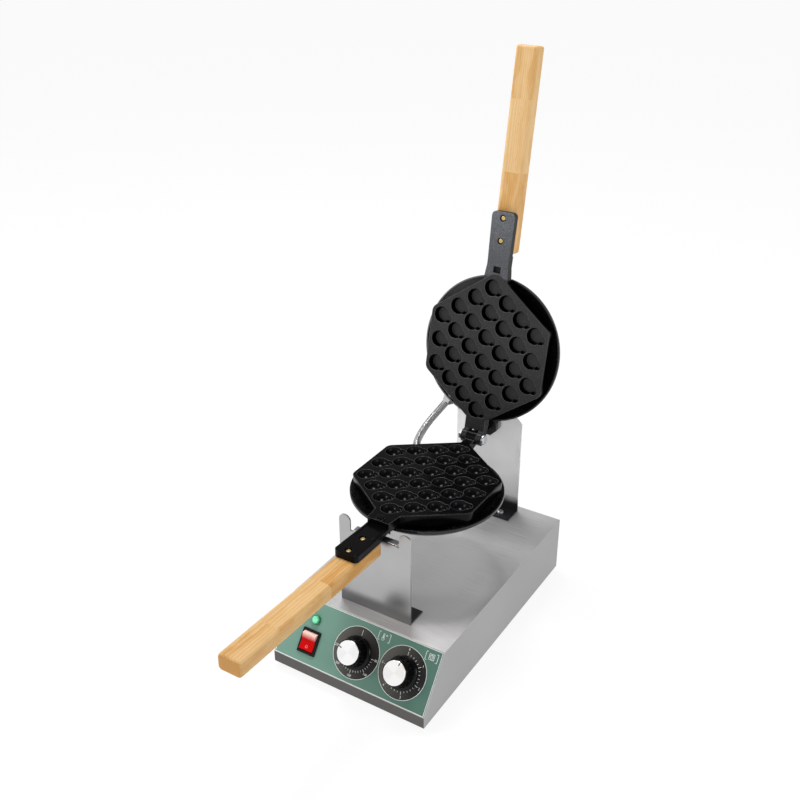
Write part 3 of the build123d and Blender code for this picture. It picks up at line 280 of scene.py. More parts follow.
def surface(finish, base, roughness, metallic=0.0, normal=None, **uniform):
    """Close a finish with its surface shader and return the material."""
    inputs = {"Base Color": base, "Roughness": roughness, "Metallic": metallic}
    if normal is not None:
        inputs["Normal"] = normal
    inputs.update({name.replace("_", " "): value for name, value in uniform.items()})
    shader = finish.node("ShaderNodeBsdfPrincipled", None, inputs)
    finish.node("ShaderNodeOutputMaterial", None, {"Surface": shader})
    return finish.owner


def dress(material, *nodes):
    """Give CAD nodes a material."""
    for node in nodes:
        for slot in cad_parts[node].material_slots:
            slot.material = material


def facing(finish, axis):
    """How far the surface faces along the object's own X, Y or Z, from -1 to 1."""
    return finish.node("ShaderNodeTexCoord", None, None, "Normal").part(axis)


steel = Finish("brushed_stainless")
top, front = stepped(facing(steel, "Z"), 0.4, 0.6), stepped(0.0 - facing(steel, "Y"), 0.5, 0.9)
brushed_across = cloud(steel, pattern(steel, (0.05, 0.0004, 0.0004)), 3.0)
brushed_down = cloud(steel, pattern(steel, (0.0004, 0.0004, 0.05)), 3.0)
brushing = steel.node("ShaderNodeMix", None, {0: top, 2: brushed_down, 3: brushed_across})
haze = cloud(steel, pattern(steel, (0.11, 0.16, 0.09)))
# Painted light and shade: the walls, the sloping front and the top each get their own shade.
plain = blended(
    steel, top, blended(steel, front, colour(160, 160, 161), colour(88, 86, 84)), colour(174, 173, 173)
)
bright = blended(
    steel, top, blended(steel, front, colour(170, 170, 171), colour(96, 94, 92)), colour(254, 253, 253)
)
# A painted sheen in the middle of the top, mixed into the polish with the brushing and the haze.
from_middle = pattern(steel, (0.12, 0.14, 1), (0.02, 0.04, 0)).length((1, 1, 0))
painted_sheen = 1.0 - stepped(from_middle, 0.58, 0.95)
polish = 0.3 * stepped(haze, 0.3, 0.8) + 0.3 * stepped(brushing, 0.35, 0.7) + 0.7 * painted_sheen
shade = blended(steel, polish, plain, bright)
brushed_steel = surface(
    steel, shade, 0.42 + 0.1 * brushing, 0.6, bumped(steel, brushing, 0.000008, 0.5)
)
dress(brushed_steel, "base_shell", "bottom_plate")


# Small steel parts
# Zinc-plated screws, nuts, washers and spindles, and the thermostat's housing: turned or pressed, with a
# bluish, slightly blotched plating.

zinc = Finish("zinc_plated_steel")
blotches = even_cloud(zinc, 0.004, 4.0, 0.6)
scratches = cloud(zinc, pattern(zinc, (0.0003, 0.002, 0.0003)), 2.0)
zinc_steel = surface(
    zinc, blended(zinc, blotches, colour(168, 171, 176), colour(214, 216, 219)),
    0.22 + 0.16 * scratches, 1.0, bumped(zinc, scratches, 0.00001, 0.5),
)
dress(
    zinc_steel, "bottom_screws", "foot_screws", "thermostat_body", "thermostat_spindle", "timer_spindle",
    "front_stand_screws", "front_stand_nuts", "rear_stand_screws", "rear_stand_nuts", "shaft_washer",
    "shaft_nut", "lower_cover_screws", "upper_cover_screws", "lower_hose_gland", "upper_hose_gland",
    "hinge_bolt", "hinge_nut",
)


# Rubber feet
# Four moulded feet of black rubber, each held by a screw through its middle. They are matt and a little
# dusty.

rubber = Finish("foot_rubber")
grit = even_cloud(rubber, 0.0006, 3.0)
dust = even_cloud(rubber, 0.01, 3.0)
foot_rubber = surface(
    rubber, blended(rubber, stepped(dust, 0.45, 0.8), colour(26, 26, 27), colour(52, 51, 50)),
    0.66 + 0.16 * grit, 0.0, bumped(rubber, grit, 0.00008, 0.5), Specular_IOR_Level=0.3,
)
dress(foot_rubber, "rubber_feet")


# Black and white mouldings
# The knobs, the timer's case, the lamp's nut and the gland of the mains lead are black nylon with a fine
# spark-eroded texture; the terminal block inside is white nylon.

def moulded(name, dark, light, roughness, size=0.00035):
    """Moulded plastic: a fine even grain in height and gloss, and slow clouds between two shades."""
    made = Finish(name)
    texture = even_cloud(made, size)
    flow = even_cloud(made, 0.02)
    return surface(
        made, blended(made, flow, dark, light), roughness + 0.1 * texture, 0.0,
        bumped(made, texture, 0.00002, 0.5), Specular_IOR_Level=0.2,
    )


black_plastic = moulded("black_plastic", colour(4, 4, 4), colour(8, 8, 9), 0.2)
white_plastic = moulded("white_plastic", colour(225, 224, 219), colour(238, 237, 233), 0.42)
dress(
    black_plastic, "temperature_knob", "timer_knob", "timer_body", "lamp_nut", "inlet_gland", "inlet_nut"
)
dress(white_plastic, "terminal_block")


# Panel film and its prints
# A green film stuck on the slope. A white border, the dials' dark rings, their ticks and numbers and two
# small signs are printed on it, each a few hundredths of a millimetre thick.

PANEL_START = np.array([0.0, -0.120013, 0.022])
PANEL_UP = np.array([0.0, 0.6, 0.8])
PANEL_OUT = np.array([0.0, -0.8, 0.6])
FILM_TOP = 0.60
INK_TOP = FILM_TOP + 0.05
# From inside the lower ink to its own top
UPPER_INK = (FILM_TOP + 0.03, FILM_TOP + 0.09)
KNOB_PLACES = {"temperature": (0.4, 38.8), "timer": (66.2, 38.8)}
DIAL_RADIUS, DIAL_HOLE = 32.0, 9.0
MARKS_START, LONG_MARKS_END, MARKS_WIDTH = 21.6, 25.6, 0.42
NUMBERS_RADIUS, NUMBERS_SIZE = 28.4, 3.9

film = Finish("panel_green")
across = pattern(film, (0.11, 1, 1)).part("X")
leather = even_cloud(film, 0.0005)
mottle = even_cloud(film, 0.03, 3.0)
# Painted shade: the film is painted lighter on the left and darker on the right.
film_left = blended(film, mottle, colour(106, 146, 132), colour(115, 153, 140))
film_right = blended(film, mottle, colour(72, 108, 96), colour(80, 116, 104))
panel_green = surface(
    film, blended(film, stepped(across, -0.8, 1.0), film_left, film_right), 0.42 + 0.1 * leather, 0.0,
    bumped(film, leather, 0.000015, 0.4), Specular_IOR_Level=0.35,
)
dress(panel_green, "panel_overlay")


def on_panel(across_mm, up_mm, out_mm):
    """Points on the slope: from the middle of its lower edge, so many millimetres along X, so many times
    the direction up the slope and so many times the direction out of it."""
    across_mm, up_mm, out_mm = np.broadcast_arrays(across_mm, up_mm, out_mm)
    points = up_mm[..., None] * PANEL_UP + out_mm[..., None] * PANEL_OUT
    points[..., 0] += across_mm
    return points / 1000 + PANEL_START


def slope_pattern(finish, size, place):
    """A pattern of one size about a place on the slope, with X across the slope and Y up it."""
    turn = (math.atan2(PANEL_UP[2], PANEL_UP[1]), 0, 0)
    return pattern(finish, (size / 1000, size / 1000, size / 1000), tuple(on_panel(*place, 0.0)), turn)


def woven(rows, columns, close_rows=False, close_columns=False):
    """Four-sided faces between the neighbours of a grid of points, as rows of four numbers: the point
    itself, the next in its row, the one below that, and the one below itself."""
    number = np.arange(rows * columns).reshape(rows, columns)
    number = np.vstack([number, number[:1]]) if close_rows else number
    number = np.hstack([number, number[:, :1]]) if close_columns else number
    faces = np.stack([number[:-1, :-1], number[:-1, 1:], number[1:, 1:], number[1:, :-1]], axis=-1)
    return faces.reshape(-1, 4)


def printed_ring(name, place, inner, outer, low, high, ink, count=144):
    """Ring with a rectangular section: four corners (radius, height) carried round the dial's centre."""
    corners = np.array([(inner, low), (inner, high), (outer, high), (outer, low)])
    angle = np.linspace(0, 2 * math.pi, count, endpoint=False)[:, None]
    points = on_panel(
        place[0] + corners[:, 0] * np.sin(angle), place[1] + corners[:, 0] * np.cos(angle),
        np.broadcast_to(corners[:, 1], (count, 4)),
    )
    return piece(name, points, woven(count, 4, True, True).tolist(), ink)


def printed_strokes(name, strokes, width, low, high, ink):
    """Flat bars from point to point: each stroke (across, up, across, up) gets a box as wide as the pen,
    which reaches past both ends by 0.3 of the width."""
    ends = np.asarray(strokes, float)
    start, end = ends[:, :2], ends[:, 2:]
    along = unit(end - start)
    beside = np.stack([-along[:, 1], along[:, 0]], axis=1) * width / 2
    start, end = start - along * width * 0.3, end + along * width * 0.3
    flat = np.stack([start - beside, end - beside, end + beside, start + beside], axis=1)
    points = np.concatenate([
        on_panel(flat[..., 0], flat[..., 1], low), on_panel(flat[..., 0], flat[..., 1], high)
    ], axis=1)
    box = np.array([(4, 5, 6, 7), (3, 2, 1, 0), (0, 1, 5, 4), (1, 2, 6, 5), (2, 3, 7, 6), (3, 0, 4, 7)])
    faces = (box[None] + 8 * np.arange(len(ends))[:, None, None]).reshape(-1, 4)
    return piece(name, points, faces.tolist(), ink)


def traced(curve):
    """The points and faces of the mesh that Blender makes of a curve or of a text."""
    holder = bpy.data.objects.new(curve.name, curve)
    bpy.context.scene.collection.objects.link(holder)
    mesh = bpy.data.meshes.new_from_object(holder)
    points = np.zeros(len(mesh.vertices) * 3)
    mesh.vertices.foreach_get("co", points)
    faces = [list(face.vertices) for face in mesh.polygons]
    bpy.data.objects.remove(holder)
    bpy.data.meshes.remove(mesh)
    return points.reshape(-1, 3), faces


def printed_words(name, words, size, low, high, ink, place_points=on_panel):
    """Words laid flat and centred: each (text, across, up) is set in outline type, moved to its place, and
    its back and front are laid at the heights low and high."""
    points, faces = [], []
    for text, across_mm, up_mm in words:
        line = bpy.data.curves.new(name, "FONT")
        line.body, line.size, line.align_x, line.align_y = text, size, "CENTER", "CENTER"
        line.resolution_u, line.extrude = 3, 0.5
        flat, outlines = traced(line)
        bpy.data.curves.remove(line)
        first = sum(len(part) for part in points)
        faces += [[first + corner for corner in outline] for outline in outlines]
        height = np.where(flat[:, 2] > 0, high, low)
        points.append(place_points(flat[:, 0] + across_mm, flat[:, 1] + up_mm, height))
    return piece(name, np.concatenate(points), faces, ink)


def spoke(place, degrees, inner, outer):
    """A stroke on a dial, from one radius to another, at so many degrees clockwise from the top: the
    dial's place plus each radius times (sine, cosine)."""
    turn = math.radians(degrees)
    return [place[0] + inner * math.sin(turn), place[1] + inner * math.cos(turn),
            place[0] + outer * math.sin(turn), place[1] + outer * math.cos(turn)]


def dial_ink(dial, place):
    """Dark ink with a fine grain. A painted shade darkens it from grey on the dial's left to black on its
    right, where the knob's shadow falls.
    """
    ink = Finish(f"{dial}_dial_ink")
    grain = even_cloud(ink, 0.0006)
    aside = slope_pattern(ink, DIAL_RADIUS, place).part("X")
    # Painted shade: grey on the dial's left, black on its right.
    return surface(
        ink, blended(ink, stepped(aside + 0.1 * grain, -1.0, 0.9), colour(88, 87, 83), colour(30, 29, 28)),
        0.38 + 0.12 * grain, 0.0, bumped(ink, grain, 0.00001, 0.4), Specular_IOR_Level=0.25,
    )


white_ink = moulded("print_white", colour(236, 241, 238), colour(246, 249, 247), 0.45, 0.0005)

dial_marks = {
    "temperature": [(0, 21.5, 28.5)] + [(90 + 45 * n, MARKS_START, LONG_MARKS_END) for n in range(5)]
    + [(90 + 9 * n, MARKS_START, 23.6) for n in range(21) if n % 5],
    "timer": [(55 * n, MARKS_START, LONG_MARKS_END) for n in range(6)]
    + [(11 * n, MARKS_START, 23.4) for n in range(26) if n % 5],
}
dial_numbers = {
    "temperature": [("50", 90), ("100", 135), ("150", 180), ("200", 225), ("250", 270)],
    "timer": [(str(n), 55 * n) for n in range(6)],
}
for dial, place in KNOB_PLACES.items():
    disc = printed_ring(
        f"{dial}_dial", place, DIAL_HOLE, DIAL_RADIUS - 0.3, FILM_TOP, INK_TOP, dial_ink(dial, place)
    )
    outline = printed_ring(
        f"{dial}_dial_outline", place, DIAL_RADIUS - 0.5, DIAL_RADIUS, FILM_TOP, UPPER_INK[1], white_ink
    )
    spokes = [spoke(place, *mark) for mark in dial_marks[dial]]
    marks = printed_strokes(f"{dial}_marks", spokes, MARKS_WIDTH, *UPPER_INK, white_ink)
    words = [(text, *spoke(place, turn, 0, NUMBERS_RADIUS)[2:]) for text, turn in dial_numbers[dial]]
    numbers = printed_words(f"{dial}_numbers", words, NUMBERS_SIZE, *UPPER_INK, white_ink)
    for made, slot in ((disc, "black_plastic"), (outline, "white_plastic"), (marks, "white_plastic"),
                       (numbers, "white_plastic")):
        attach(made, "base")


def outlined(corners):
    """Strokes round a closed outline of corners."""
    return [[*corners[n], *corners[(n + 1) % len(corners)]] for n in range(len(corners))]


def circle(across_mm, up_mm, radius, count=14):
    """Corners of a circle: its middle plus the radius times (cosine, sine) of evenly spaced angles."""
    turns = [2 * math.pi * n / count for n in range(count)]
    return [(across_mm + radius * math.cos(turn), up_mm + radius * math.sin(turn)) for turn in turns]


def moved(strokes, place):
    """Strokes drawn about 0, 0, with the place added to both their ends."""
    return (np.array(strokes) + [*place, *place]).tolist()


THERMOMETER, CLOCK = (29.8, 69.3), (96.0, 69.0)

border = outlined([(-108.2, 1.6), (108.2, 1.6), (108.2, 78.2), (-108.2, 78.2)])
brackets = [
    [side * start, low, side * end, high] for side in (-1, 1)
    for start, low, end, high in ((8, -5, 8, 5), (8, -5, 6, -5), (8, 5, 6, 5))
]
bulb, degree = outlined(circle(-1.2, -2.6, 1.7)), outlined(circle(2.8, 2.6, 0.9, 10))
tube = [[-2.0, -1.2, -2.0, 3.6], [-0.4, -1.2, -0.4, 3.6], [-2.0, 3.6, -0.4, 3.6], [-1.2, -2.2, -1.2, 1.4]]
case = outlined([(-3.4, -3.4), (3.4, -3.4), (3.4, 3.4), (-3.4, 3.4)])
face, hands = outlined(circle(0, 0, 2.3)), [[0, 0, 0, 1.5], [0, 0, 1.1, 0]]
signs = moved(brackets + bulb + degree + tube, THERMOMETER) + moved(brackets + case + face + hands, CLOCK)
for name, strokes, width in (("panel_border", border, 0.6), ("panel_signs", signs, 0.5)):
    made = printed_strokes(name, strokes, width, FILM_TOP, INK_TOP, white_ink)
    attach(made, "base")


# Pilot lamp
# A domed lens of clear green plastic in a hole of the slope, held by a nut behind it. Its middle is
# painted pale and its edge deep green: a painted glow.

LAMP_PLACE, LAMP_RADIUS = (-66.0, 56.5), 6.3

lens = Finish("lamp_green")
from_lamp = slope_pattern(lens, LAMP_RADIUS, LAMP_PLACE).length((1, 1, 0))
facets = even_cloud(lens, 0.0009)
# Painted glow: pale in the middle of the lens, deep green at its edge.
lens_edge = stepped(from_lamp + 0.2 * facets, 0.55, 1.0)
lamp_green = surface(
    lens, blended(lens, lens_edge, colour(128, 238, 190), colour(14, 128, 72)),
    0.14 + 0.08 * facets, 0.0, bumped(lens, facets, 0.00003, 0.4), Coat_Weight=0.3,
)
dress(lamp_green, "lamp_lens")


# Rocker switch
# A red rocker on a pin in a glossy black snap-in housing. Its lower half is pressed, and its upper end is
# painted pale, a painted glare. I and O are printed on its two halves.

black_gloss = moulded("black_gloss", colour(12, 12, 13), colour(18, 18, 19), 0.16, 0.0007)
dress(black_gloss, "rocker_housing")

ROCKER_PLACE = (-66.0, 28.2)
ROCKER_TILT, ROCKER_VALLEY, ROCKER_RISE, ROCKER_PIVOT = math.radians(8), 4.4, 3.0 / 12.2, -1.0
PAINTED_GLARE_UP_TO = 10.0

red = Finish("rocker_red")
red_grain, red_flow = even_cloud(red, 0.0008), even_cloud(red, 0.01)
# Painted glare: the rocker is painted pale towards its upper end.
slope_up = slope_pattern(red, PAINTED_GLARE_UP_TO, ROCKER_PLACE).part("Y")
plain_red = blended(red, red_flow, colour(186, 2, 3), colour(204, 4, 5))
rocker_red = surface(
    red, blended(red, stepped(slope_up, 0.15, 1.05), plain_red, colour(250, 206, 196)),
    0.3 + 0.08 * red_grain, 0.0, bumped(red, red_grain, 0.000015, 0.4), Specular_IOR_Level=0.06,
)
dress(rocker_red, "rocker")


def on_rocker(across_mm, up_mm, out_mm):
    """Points on the rocker's V-shaped top: a height of valley plus rise times the distance from the
    middle, turned about the pin by the rocker's tilt."""
    height = ROCKER_VALLEY + np.abs(up_mm) * ROCKER_RISE + out_mm
    cos, sin = math.cos(ROCKER_TILT), math.sin(ROCKER_TILT)
    return on_panel(
        ROCKER_PLACE[0] + across_mm, ROCKER_PLACE[1] + up_mm * cos - height * sin,
        ROCKER_PIVOT + up_mm * sin + height * cos,
    )


switch_ink = moulded("switch_print", colour(226, 132, 128), colour(236, 150, 146), 0.45, 0.0005)
switch_marks = printed_words(
    "rocker_marks", [("I", 0.0, 5.6), ("O", 0.0, -5.8)], 5.0, -0.05, 0.06, switch_ink, on_rocker
)
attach(switch_marks, "switch_rocker")


# Knob caps and pointers
# A turned aluminium disc is set in each knob's top, with fine turning grooves; a painted glint brightens
# it in sectors. A short black line at its edge is the pointer.

CAP_TOP = 23.1
GROOVE = 0.45
POINTERS = {"temperature": 285.0, "timer": 15.0}
POINTER_START, POINTER_END, POINTER_WIDTH = 10.4, 14.2, 1.2

for dial, place in KNOB_PLACES.items():
    turned = Finish(f"{dial}_cap_aluminium")
    spot = slope_pattern(turned, 1.0, place)
    angle = spot.sum("ARCTAN2", spot.part("X"), spot.part("Y"))
    fan = 0.5 + 0.5 * angle.sum("COSINE", angle * 2.0 + 0.9)
    rays = cloud(turned, turned.node("ShaderNodeCombineXYZ", None, {0: angle * 1.6, 1: 3.0}), 4.0, 0.7)
    grooves = spot.sum("SINE", spot.length((1, 1, 0)) * (2 * math.pi / GROOVE))
    # Painted glint: brighter sectors round the cap.
    painted_glint = stepped(fan * 0.7 + rays * 0.5, 0.25, 0.85)
    cap = surface(
        turned, blended(turned, painted_glint, colour(246, 246, 247), colour(255, 255, 255)),
        0.3 + 0.1 * rays, 1.0, bumped(turned, 0.5 + 0.5 * grooves, 0.000008, 0.5),
    )
    dress(cap, f"{dial}_knob_cap")
    line = spoke(place, POINTERS[dial], POINTER_START, POINTER_END)
    pointer = printed_strokes(
        f"{dial}_pointer", [line], POINTER_WIDTH, CAP_TOP - 0.1, CAP_TOP + 0.06, black_plastic
    )
    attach(pointer, f"{dial}_dial")


# Stands
# Bent 2 mm stainless plates, polished, each held by two screws through its foot. The front one has the
# notch in which the pans' necks turn; the rear one carries the bush of the turning shaft.

FOOT_SHADE = (0.098, 0.112)


def polished(name, dark, light, foot, roughness, metallic):
    """Polished sheet: faint long grinding lines and slow clouds of wiped-off polish. Between two heights
    over the table it is painted darker towards its foot, a painted shade."""
    made = Finish(name)
    lines = cloud(made, pattern(made, (0.0003, 0.0003, 0.03)), 3.0)
    wiped = even_cloud(made, 0.05, 3.0)
    height = pattern(made, (1, 1, 1)).part("Z") + 0.004 * wiped
    # Painted shade: darker towards the foot.
    shade = blended(made, stepped(height, *FOOT_SHADE), foot, blended(made, wiped, dark, light))
    return surface(
        made, shade, roughness + 0.05 * lines + 0.05 * wiped, metallic, bumped(made, lines, 0.000006, 0.5)
    )


# The rear plate is painted much paler than the front one, a painted reflection on the same polished steel.
front_steel = polished(
    "stand_steel_front", colour(168, 168, 169), colour(186, 186, 187), colour(126, 126, 127), 0.24, 1.0
)
rear_steel = polished(
    "stand_steel_rear", colour(232, 232, 233), colour(246, 246, 247), colour(58, 58, 60), 0.1, 0.55
)
dress(front_steel, "front_stand")
dress(rear_steel, "rear_stand")


# Turning shaft and bush
# A blackened steel shaft with an eight-sided flange, held by its spigot in the lower casting. It turns in
# a flanged brass bush; the handles' screws are brass too.

blackened = Finish("blackened_steel")
wear = even_cloud(blackened, 0.003, 4.0, 0.6)
shaft_black = surface(
    blackened, blended(blackened, stepped(wear, 0.5, 0.8), colour(22, 22, 23), colour(52, 52, 54)),
    0.3 + 0.16 * wear, 0.6, bumped(blackened, wear, 0.00003, 0.4),
)
dress(shaft_black, "turning_shaft")

yellow = Finish("brass")
tarnish = even_cloud(yellow, 0.003, 4.0, 0.6)
brass = surface(
    yellow, blended(yellow, tarnish, colour(164, 130, 76), colour(244, 214, 150)),
    0.3 + 0.16 * tarnish, 1.0, bumped(yellow, tarnish, 0.000015, 0.4),
)
dress(brass, "pivot_bush", "lower_handle_screws", "upper_handle_screws")


# Cooking plates
# Two aluminium castings with 30 gourd-shaped hollows each, sprayed and baked with black non-stick: a
# satin coat with a fine orange peel, and a painted highlight along its edges.

HINGE = (0, 0.188987, 0.216)
TIP_START, RECESS_HALF = 0.231, (0.0055, 0.0065)
RIM_HIGHLIGHT_DEPTH = (0.0008, 0.0022)


def nonstick(name, dark, light, fleck, roughness, specular, open_by, down, neck=None):
    """Baked coat: an orange peel and fine flecks, and slow clouds between two shades. It is worked out in
    the pan's own frame, from its hinge: depth is the distance behind the cooking face, along runs from the
    hinge to the handle, and upright is 1 where the surface faces as the cooking face does. The face's
    edges, where the Bevel node bends the normal, are painted brighter, a painted highlight, and the coat is
    painted darker near the hinge, a painted shade. Where a neck is given, the walls of the hollows are
    painted black, a painted shade, and are metallic; beyond the neck the coat is rough, and the front of
    the tongue is painted grey, a painted light, but black in the tongue's square recess, a painted shade."""
    coat = Finish(name)
    rounding = coat.node("ShaderNodeBevel", {"samples": 6}, {"Radius": 0.0009})
    same = rounding.dot(coat.node("ShaderNodeNewGeometry", None, None, "True Normal"))
    place = pattern(coat, (1, 1, 1), HINGE, (open_by, 0, 0))
    depth, along = place.part("Z") * down, place.part("Y") * -1.0
    normal = coat.node("ShaderNodeTexCoord", None, None, "Normal")
    upright = normal.dot((0, down * math.sin(open_by), -down * math.cos(open_by)))
    peel, baked = even_cloud(coat, 0.0011), even_cloud(coat, 0.035, 3.0)
    specks = even_cloud(coat, 0.0008, 2.0, 0.7)
    deep = stepped(depth * depth, RIM_HIGHLIGHT_DEPTH[0] ** 2, RIM_HIGHLIGHT_DEPTH[1] ** 2)
    painted_rim_highlight = (1.0 - deep) * stepped(1.0 - same, 0.01, 0.12)
    shade = blended(coat, baked, dark, light)
    # Painted shade: darker towards the hinge.
    shade = blended(coat, 0.75 * (1.0 - stepped(along, 0.03, 0.15)), shade, colour(6, 6, 6))
    shade = blended(coat, stepped(specks, 0.58, 0.74), shade, fleck)
    # Painted highlight along the edges of the face and the hollows' rims.
    shade = blended(coat, painted_rim_highlight * (0.4 + 0.6 * baked), shade, colour(112, 112, 115))
    gloss, painted_wall_shade = roughness + 0.12 * peel, 0.0
    if neck is not None:
        beyond = stepped(along, neck, neck + 0.003)
        # Painted shade: the hollows' walls are painted black.
        painted_wall_shade = stepped(depth, 0.0006, 0.0014) * (1.0 - stepped(upright, 0.5, 0.8)) * (1.0 - beyond)
        shade = blended(coat, painted_wall_shade, shade, colour(2, 2, 2))
        tip = stepped(along, TIP_START, TIP_START + 0.003)
        tongue_mask = tip.sum("MAXIMUM", stepped(depth, 0.0008, 0.0012) * beyond, tip)
        # Painted light: the front of the tongue is painted grey, paler away from the neck.
        rough = stepped(specks, 0.35, 0.7) * (0.5 + 0.5 * stepped(along, TIP_START, 0.3))
        grey = blended(coat, rough, colour(62, 64, 68), colour(134, 137, 142))
        shade = blended(coat, tongue_mask * stepped(upright, 0.1, 0.6), shade, grey)
        beside = stepped(place.part("X") * place.part("X"), RECESS_HALF[0] ** 2, RECESS_HALF[1] ** 2)
        # Painted shade: the tongue's square recess is painted black.
        recess = stepped(depth, 0.0028, 0.0036) * (1.0 - beside) * tongue_mask
        shade = blended(coat, recess * stepped(upright, -0.5, -0.2), shade, colour(8, 8, 9))
        gloss = gloss + 0.25 * tongue_mask
    return surface(
        coat, shade, gloss, painted_wall_shade, bumped(coat, peel, 0.00003, 0.35, rounding), Specular_IOR_Level=specular
    )


# Both plates carry the same coat; the upper one is painted much lighter than the lower one, painted light
# and shade for how each faces the lamps.
lower_coat = nonstick(
    "nonstick_lower", colour(3, 3, 4), colour(7, 7, 8), colour(24, 24, 26), 0.15, 0.11, 0.0, -1.0
)
upper_coat = nonstick(
    "nonstick_upper", colour(28, 29, 29), colour(42, 43, 43), colour(92, 95, 95), 0.3, 0.3,
    math.radians(-102.5), 1.0, neck=0.2165,
)
dress(lower_coat, "lower_plate")
dress(upper_coat, "upper_plate")


# Heater bowls
# Spun steel dishes behind the plates, enamelled black, with a turned-over rim. The steel ring heaters
# inside them carry the tints of heat.

def enamelled(name, painted_grey_share):
    """Black enamel, slightly rippled, with clouds of soot; inside, towards the hose, it is painted a
    speckled grey, a painted reflection, as much as the given share says."""
    enamel = Finish(name)
    edges = enamel.node("ShaderNodeBevel", {"samples": 4}, {"Radius": 0.0006})
    ripple = even_cloud(enamel, 0.012)
    soot = even_cloud(enamel, 0.03, 4.0, 0.6)
    specks = even_cloud(enamel, 0.001, 2.0, 0.7)
    aside = pattern(enamel, (1, 1, 1)).part("X")
    # Painted reflection: a speckled grey inside, on the left.
    painted_reflection = painted_grey_share * stepped(0.0 - facing(enamel, "Y"), 0.1, 0.5) * (1.0 - stepped(aside, -0.045, 0.01))
    shade = blended(enamel, stepped(soot, 0.4, 0.8), colour(13, 13, 14), colour(24, 23, 23))
    grey = blended(enamel, specks, colour(84, 85, 86), colour(132, 134, 135))
    return surface(
        enamel, blended(enamel, painted_reflection, shade, grey), 0.2 + 0.14 * soot + 0.3 * painted_reflection, 0.0,
        bumped(enamel, ripple, 0.0002, 0.3, edges), Specular_IOR_Level=0.45,
    )


# Only the upper bowl gets the painted reflection.
dress(enamelled("bowl_black_lower", 0.0), "lower_bowl")
dress(enamelled("bowl_black_upper", 1.0), "upper_bowl")

temper = Finish("heater_steel")
heat = even_cloud(temper, 0.02, 3.0)
temper_shades = [(0.3, colour(96, 88, 82)), (0.5, colour(140, 116, 88)), (0.7, colour(86, 92, 112))]
heater_steel = surface(
    temper, temper.node("ShaderNodeValToRGB", {"stops": temper_shades}, {"Fac": heat}),
    0.34 + 0.2 * heat, 1.0, bumped(temper, heat, 0.00004, 0.4),
)
dress(heater_steel, "lower_heater", "upper_heater")


# Handles
# Bars of rubber wood, rounded at their edges and oiled, glued up end to end from short staves: each
# stave has its own tint and figure. The grain runs along the bar.

HANDLE_LENGTH = 0.254
HEART_ASIDE, HEART_BELOW = 0.021, 0.034
YEAR_RING = 0.0019


def rubber_wood(name, node, lean, ends, painted_lift):
    """Staves: the place along the bar, from -1 to 1, steps up to the tint of each stave, which also shifts
    its part of the figure. The figure is a sine across the bar, bent by noise, with long fine streaks,
    short dark pores and year rings over it; the rings lie round a heart that runs beside the bar, and the
    bar's ends show them alone. Everything is drawn along the bar, whose own direction is turned to Y."""
    made = Finish(name)
    low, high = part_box(node)
    middle, turn = tuple((np.array(low) + high) / 2), (lean, 0, 0)
    along = pattern(made, (1, HANDLE_LENGTH / 2, 1), middle, turn).part("Y")
    tint = 0.5 - 0.4 * along.sum("GREATER_THAN", along, -0.5) + 0.75 * along.sum("GREATER_THAN", along, 0.2)
    shift = made.node("ShaderNodeCombineXYZ", None, {0: tint * 7.0, 1: tint * 3.0, 2: tint * 5.0})

    def own(size):
        """A pattern along the bar that starts afresh on each stave."""
        whole = pattern(made, size, middle, turn)
        return made.node("ShaderNodeVectorMath", {"operation": "ADD"}, {0: whole, 1: shift})

    waves = cloud(made, own((0.014, 0.05, 0.014)), 3.0)
    across = own((0.0042, 1.0, 0.0058))
    bands = 0.5 + 0.5 * tint.sum("SINE", across.part("X") + across.part("Z") + waves * 13.0)
    streaks = cloud(made, own((0.0007, 0.03, 0.0007)), 4.0, 0.7)
    pores = cloud(made, own((0.0005, 0.006, 0.0005)), 1.0)
    down = np.array((0, math.sin(lean), -math.cos(lean)))
    heart = tuple(np.array(middle) - (HEART_ASIDE, 0, 0) + down * HEART_BELOW)
    from_heart = pattern(made, (1, 1, 1), heart, turn).length((1, 0, 1))
    rings = 0.5 + 0.5 * tint.sum("SINE", from_heart * (2 * math.pi / YEAR_RING) + waves * 7.0 + tint * 9.0)
    # The lift adds a painted light (above 0) or a painted shade (below 0) to every shade of the figure.
    light, dark = (
        blended(made, streaks * 0.7 + rings * 0.3, colour(*(part + painted_lift for part in darker)),
                colour(*(part + painted_lift for part in lighter)))
        for darker, lighter in (((198, 152, 88), (232, 197, 145)), ((180, 122, 52), (216, 166, 94)))
    )
    figured = blended(made, stepped(bands * 0.4 + tint * 0.5 + waves * 0.3, 0.3, 1.1), light, dark)
    pored = blended(made, stepped(pores, 0.7, 0.8), figured, colour(176, 124, 64))
    end_grain = blended(made, rings, colour(212, 158, 84), colour(178, 122, 52))
    cut = facing(made, ends) * facing(made, ends)
    return surface(
        made, blended(made, stepped(cut, 0.7, 0.9), pored, end_grain), 0.42 + 0.16 * streaks, 0.0,
        bumped(made, streaks * 0.7 + pores * 0.3, 0.00006, 0.4), Specular_IOR_Level=0.35,
    )


# The upper bar is painted lighter and the lower bar darker: painted light and shade on the same wood.
dress(rubber_wood("wood_lower", "lower_handle", math.radians(-2.0), "Y", -8), "lower_handle")
dress(rubber_wood("wood_upper", "upper_handle", math.radians(-99.5), "Z", 14), "upper_handle")
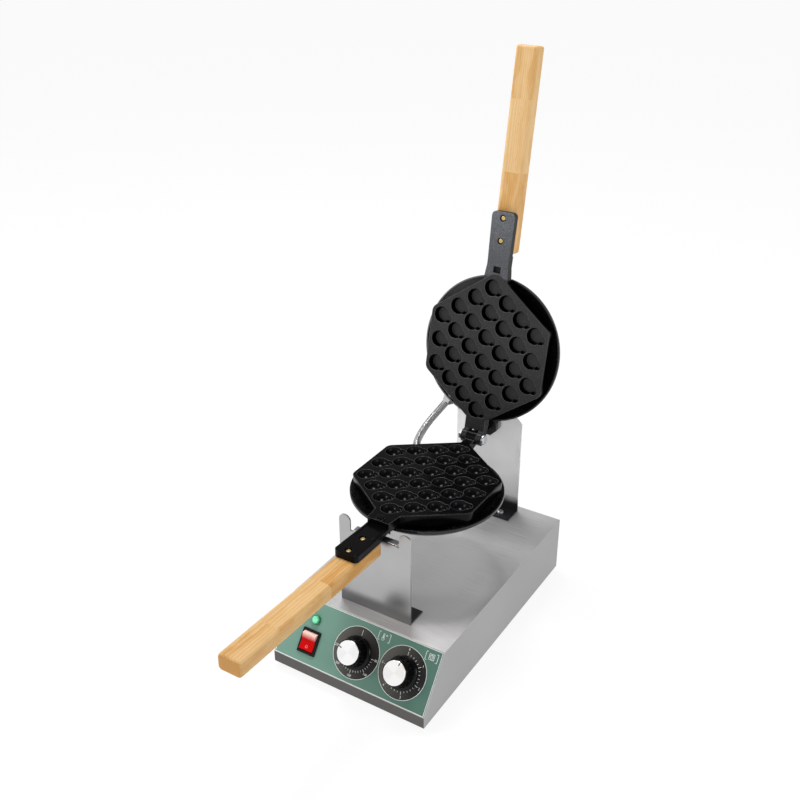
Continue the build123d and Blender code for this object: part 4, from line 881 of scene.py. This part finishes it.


# Steel hose
# A flexible tube wound from steel strip, with a fine spiral rib, that carries the upper pan's wires from
# one bowl to the other.

HOSE_ROUTE = (
    (-0.06588, 0.15280, 0.19150), (-0.07696, 0.16699, 0.19150), (-0.08085, 0.18737, 0.19835),
    (-0.07801, 0.20315, 0.20939), (-0.06808, 0.21630, 0.22599), (-0.05828, 0.21956, 0.24073),
)
HOSE_RADIUS, HOSE_ROOT, HOSE_TURN = 0.0052, 0.0047, 0.0024
RINGS_PER_TURN, SIDES = 10, 28

wire = bpy.data.curves.new("hose_line", "CURVE")
wire.dimensions, wire.resolution_u = "3D", 64
line = wire.splines.new("NURBS")
line.points.add(len(HOSE_ROUTE) - 1)
line.points.foreach_set("co", np.hstack([HOSE_ROUTE, np.ones((len(HOSE_ROUTE), 1))]).ravel())
line.order_u, line.use_endpoint_u = 3, True
spine = traced(wire)[0]
travelled = np.concatenate([[0], np.cumsum(np.linalg.norm(np.diff(spine, axis=0), axis=1))])
hose_length = float(travelled[-1])
ring_count = int(hose_length / HOSE_TURN * RINGS_PER_TURN)
steps = np.linspace(0, hose_length, ring_count)
path = np.stack([np.interp(steps, travelled, spine[:, axis]) for axis in range(3)], axis=1)


def spiral_tube(path, steps):
    """Tube along a path: at step t and angle a its radius is the root plus a rib that rises and falls
    once for each turn's length along and shifts by one turn round, so that the rib is a spiral."""
    ahead = unit(np.gradient(path, steps, axis=0))
    flat = np.linalg.svd(path - path.mean(axis=0))[2][2]
    beside = unit(np.cross(ahead, flat))
    other = np.cross(ahead, beside)
    around = np.linspace(0, 2 * math.pi, SIDES, endpoint=False)
    wave = 0.5 + 0.5 * np.cos(2 * math.pi * steps[:, None] / HOSE_TURN + around)
    radius = HOSE_ROOT + (HOSE_RADIUS - HOSE_ROOT) * wave ** 0.6
    out = beside[:, None] * np.cos(around)[:, None] + other[:, None] * np.sin(around)[:, None]
    return path[:, None] + out * radius[..., None]


hose_faces = woven(ring_count, SIDES, False, True).tolist()
hose_faces += [list(range(SIDES)), list(range(ring_count * SIDES - 1, (ring_count - 1) * SIDES - 1, -1))]

strip = Finish("hose_steel")
smear = even_cloud(strip, 0.008, 3.0)
hose_steel = surface(
    strip, blended(strip, smear, colour(136, 136, 137), colour(194, 194, 195)), 0.26 + 0.1 * smear, 1.0,
    bumped(strip, smear, 0.00002, 0.3),
)
hose = piece("steel_hose", spiral_tube(path, steps), hose_faces, hose_steel, smooth=True)
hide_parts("hose")
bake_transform(hose)
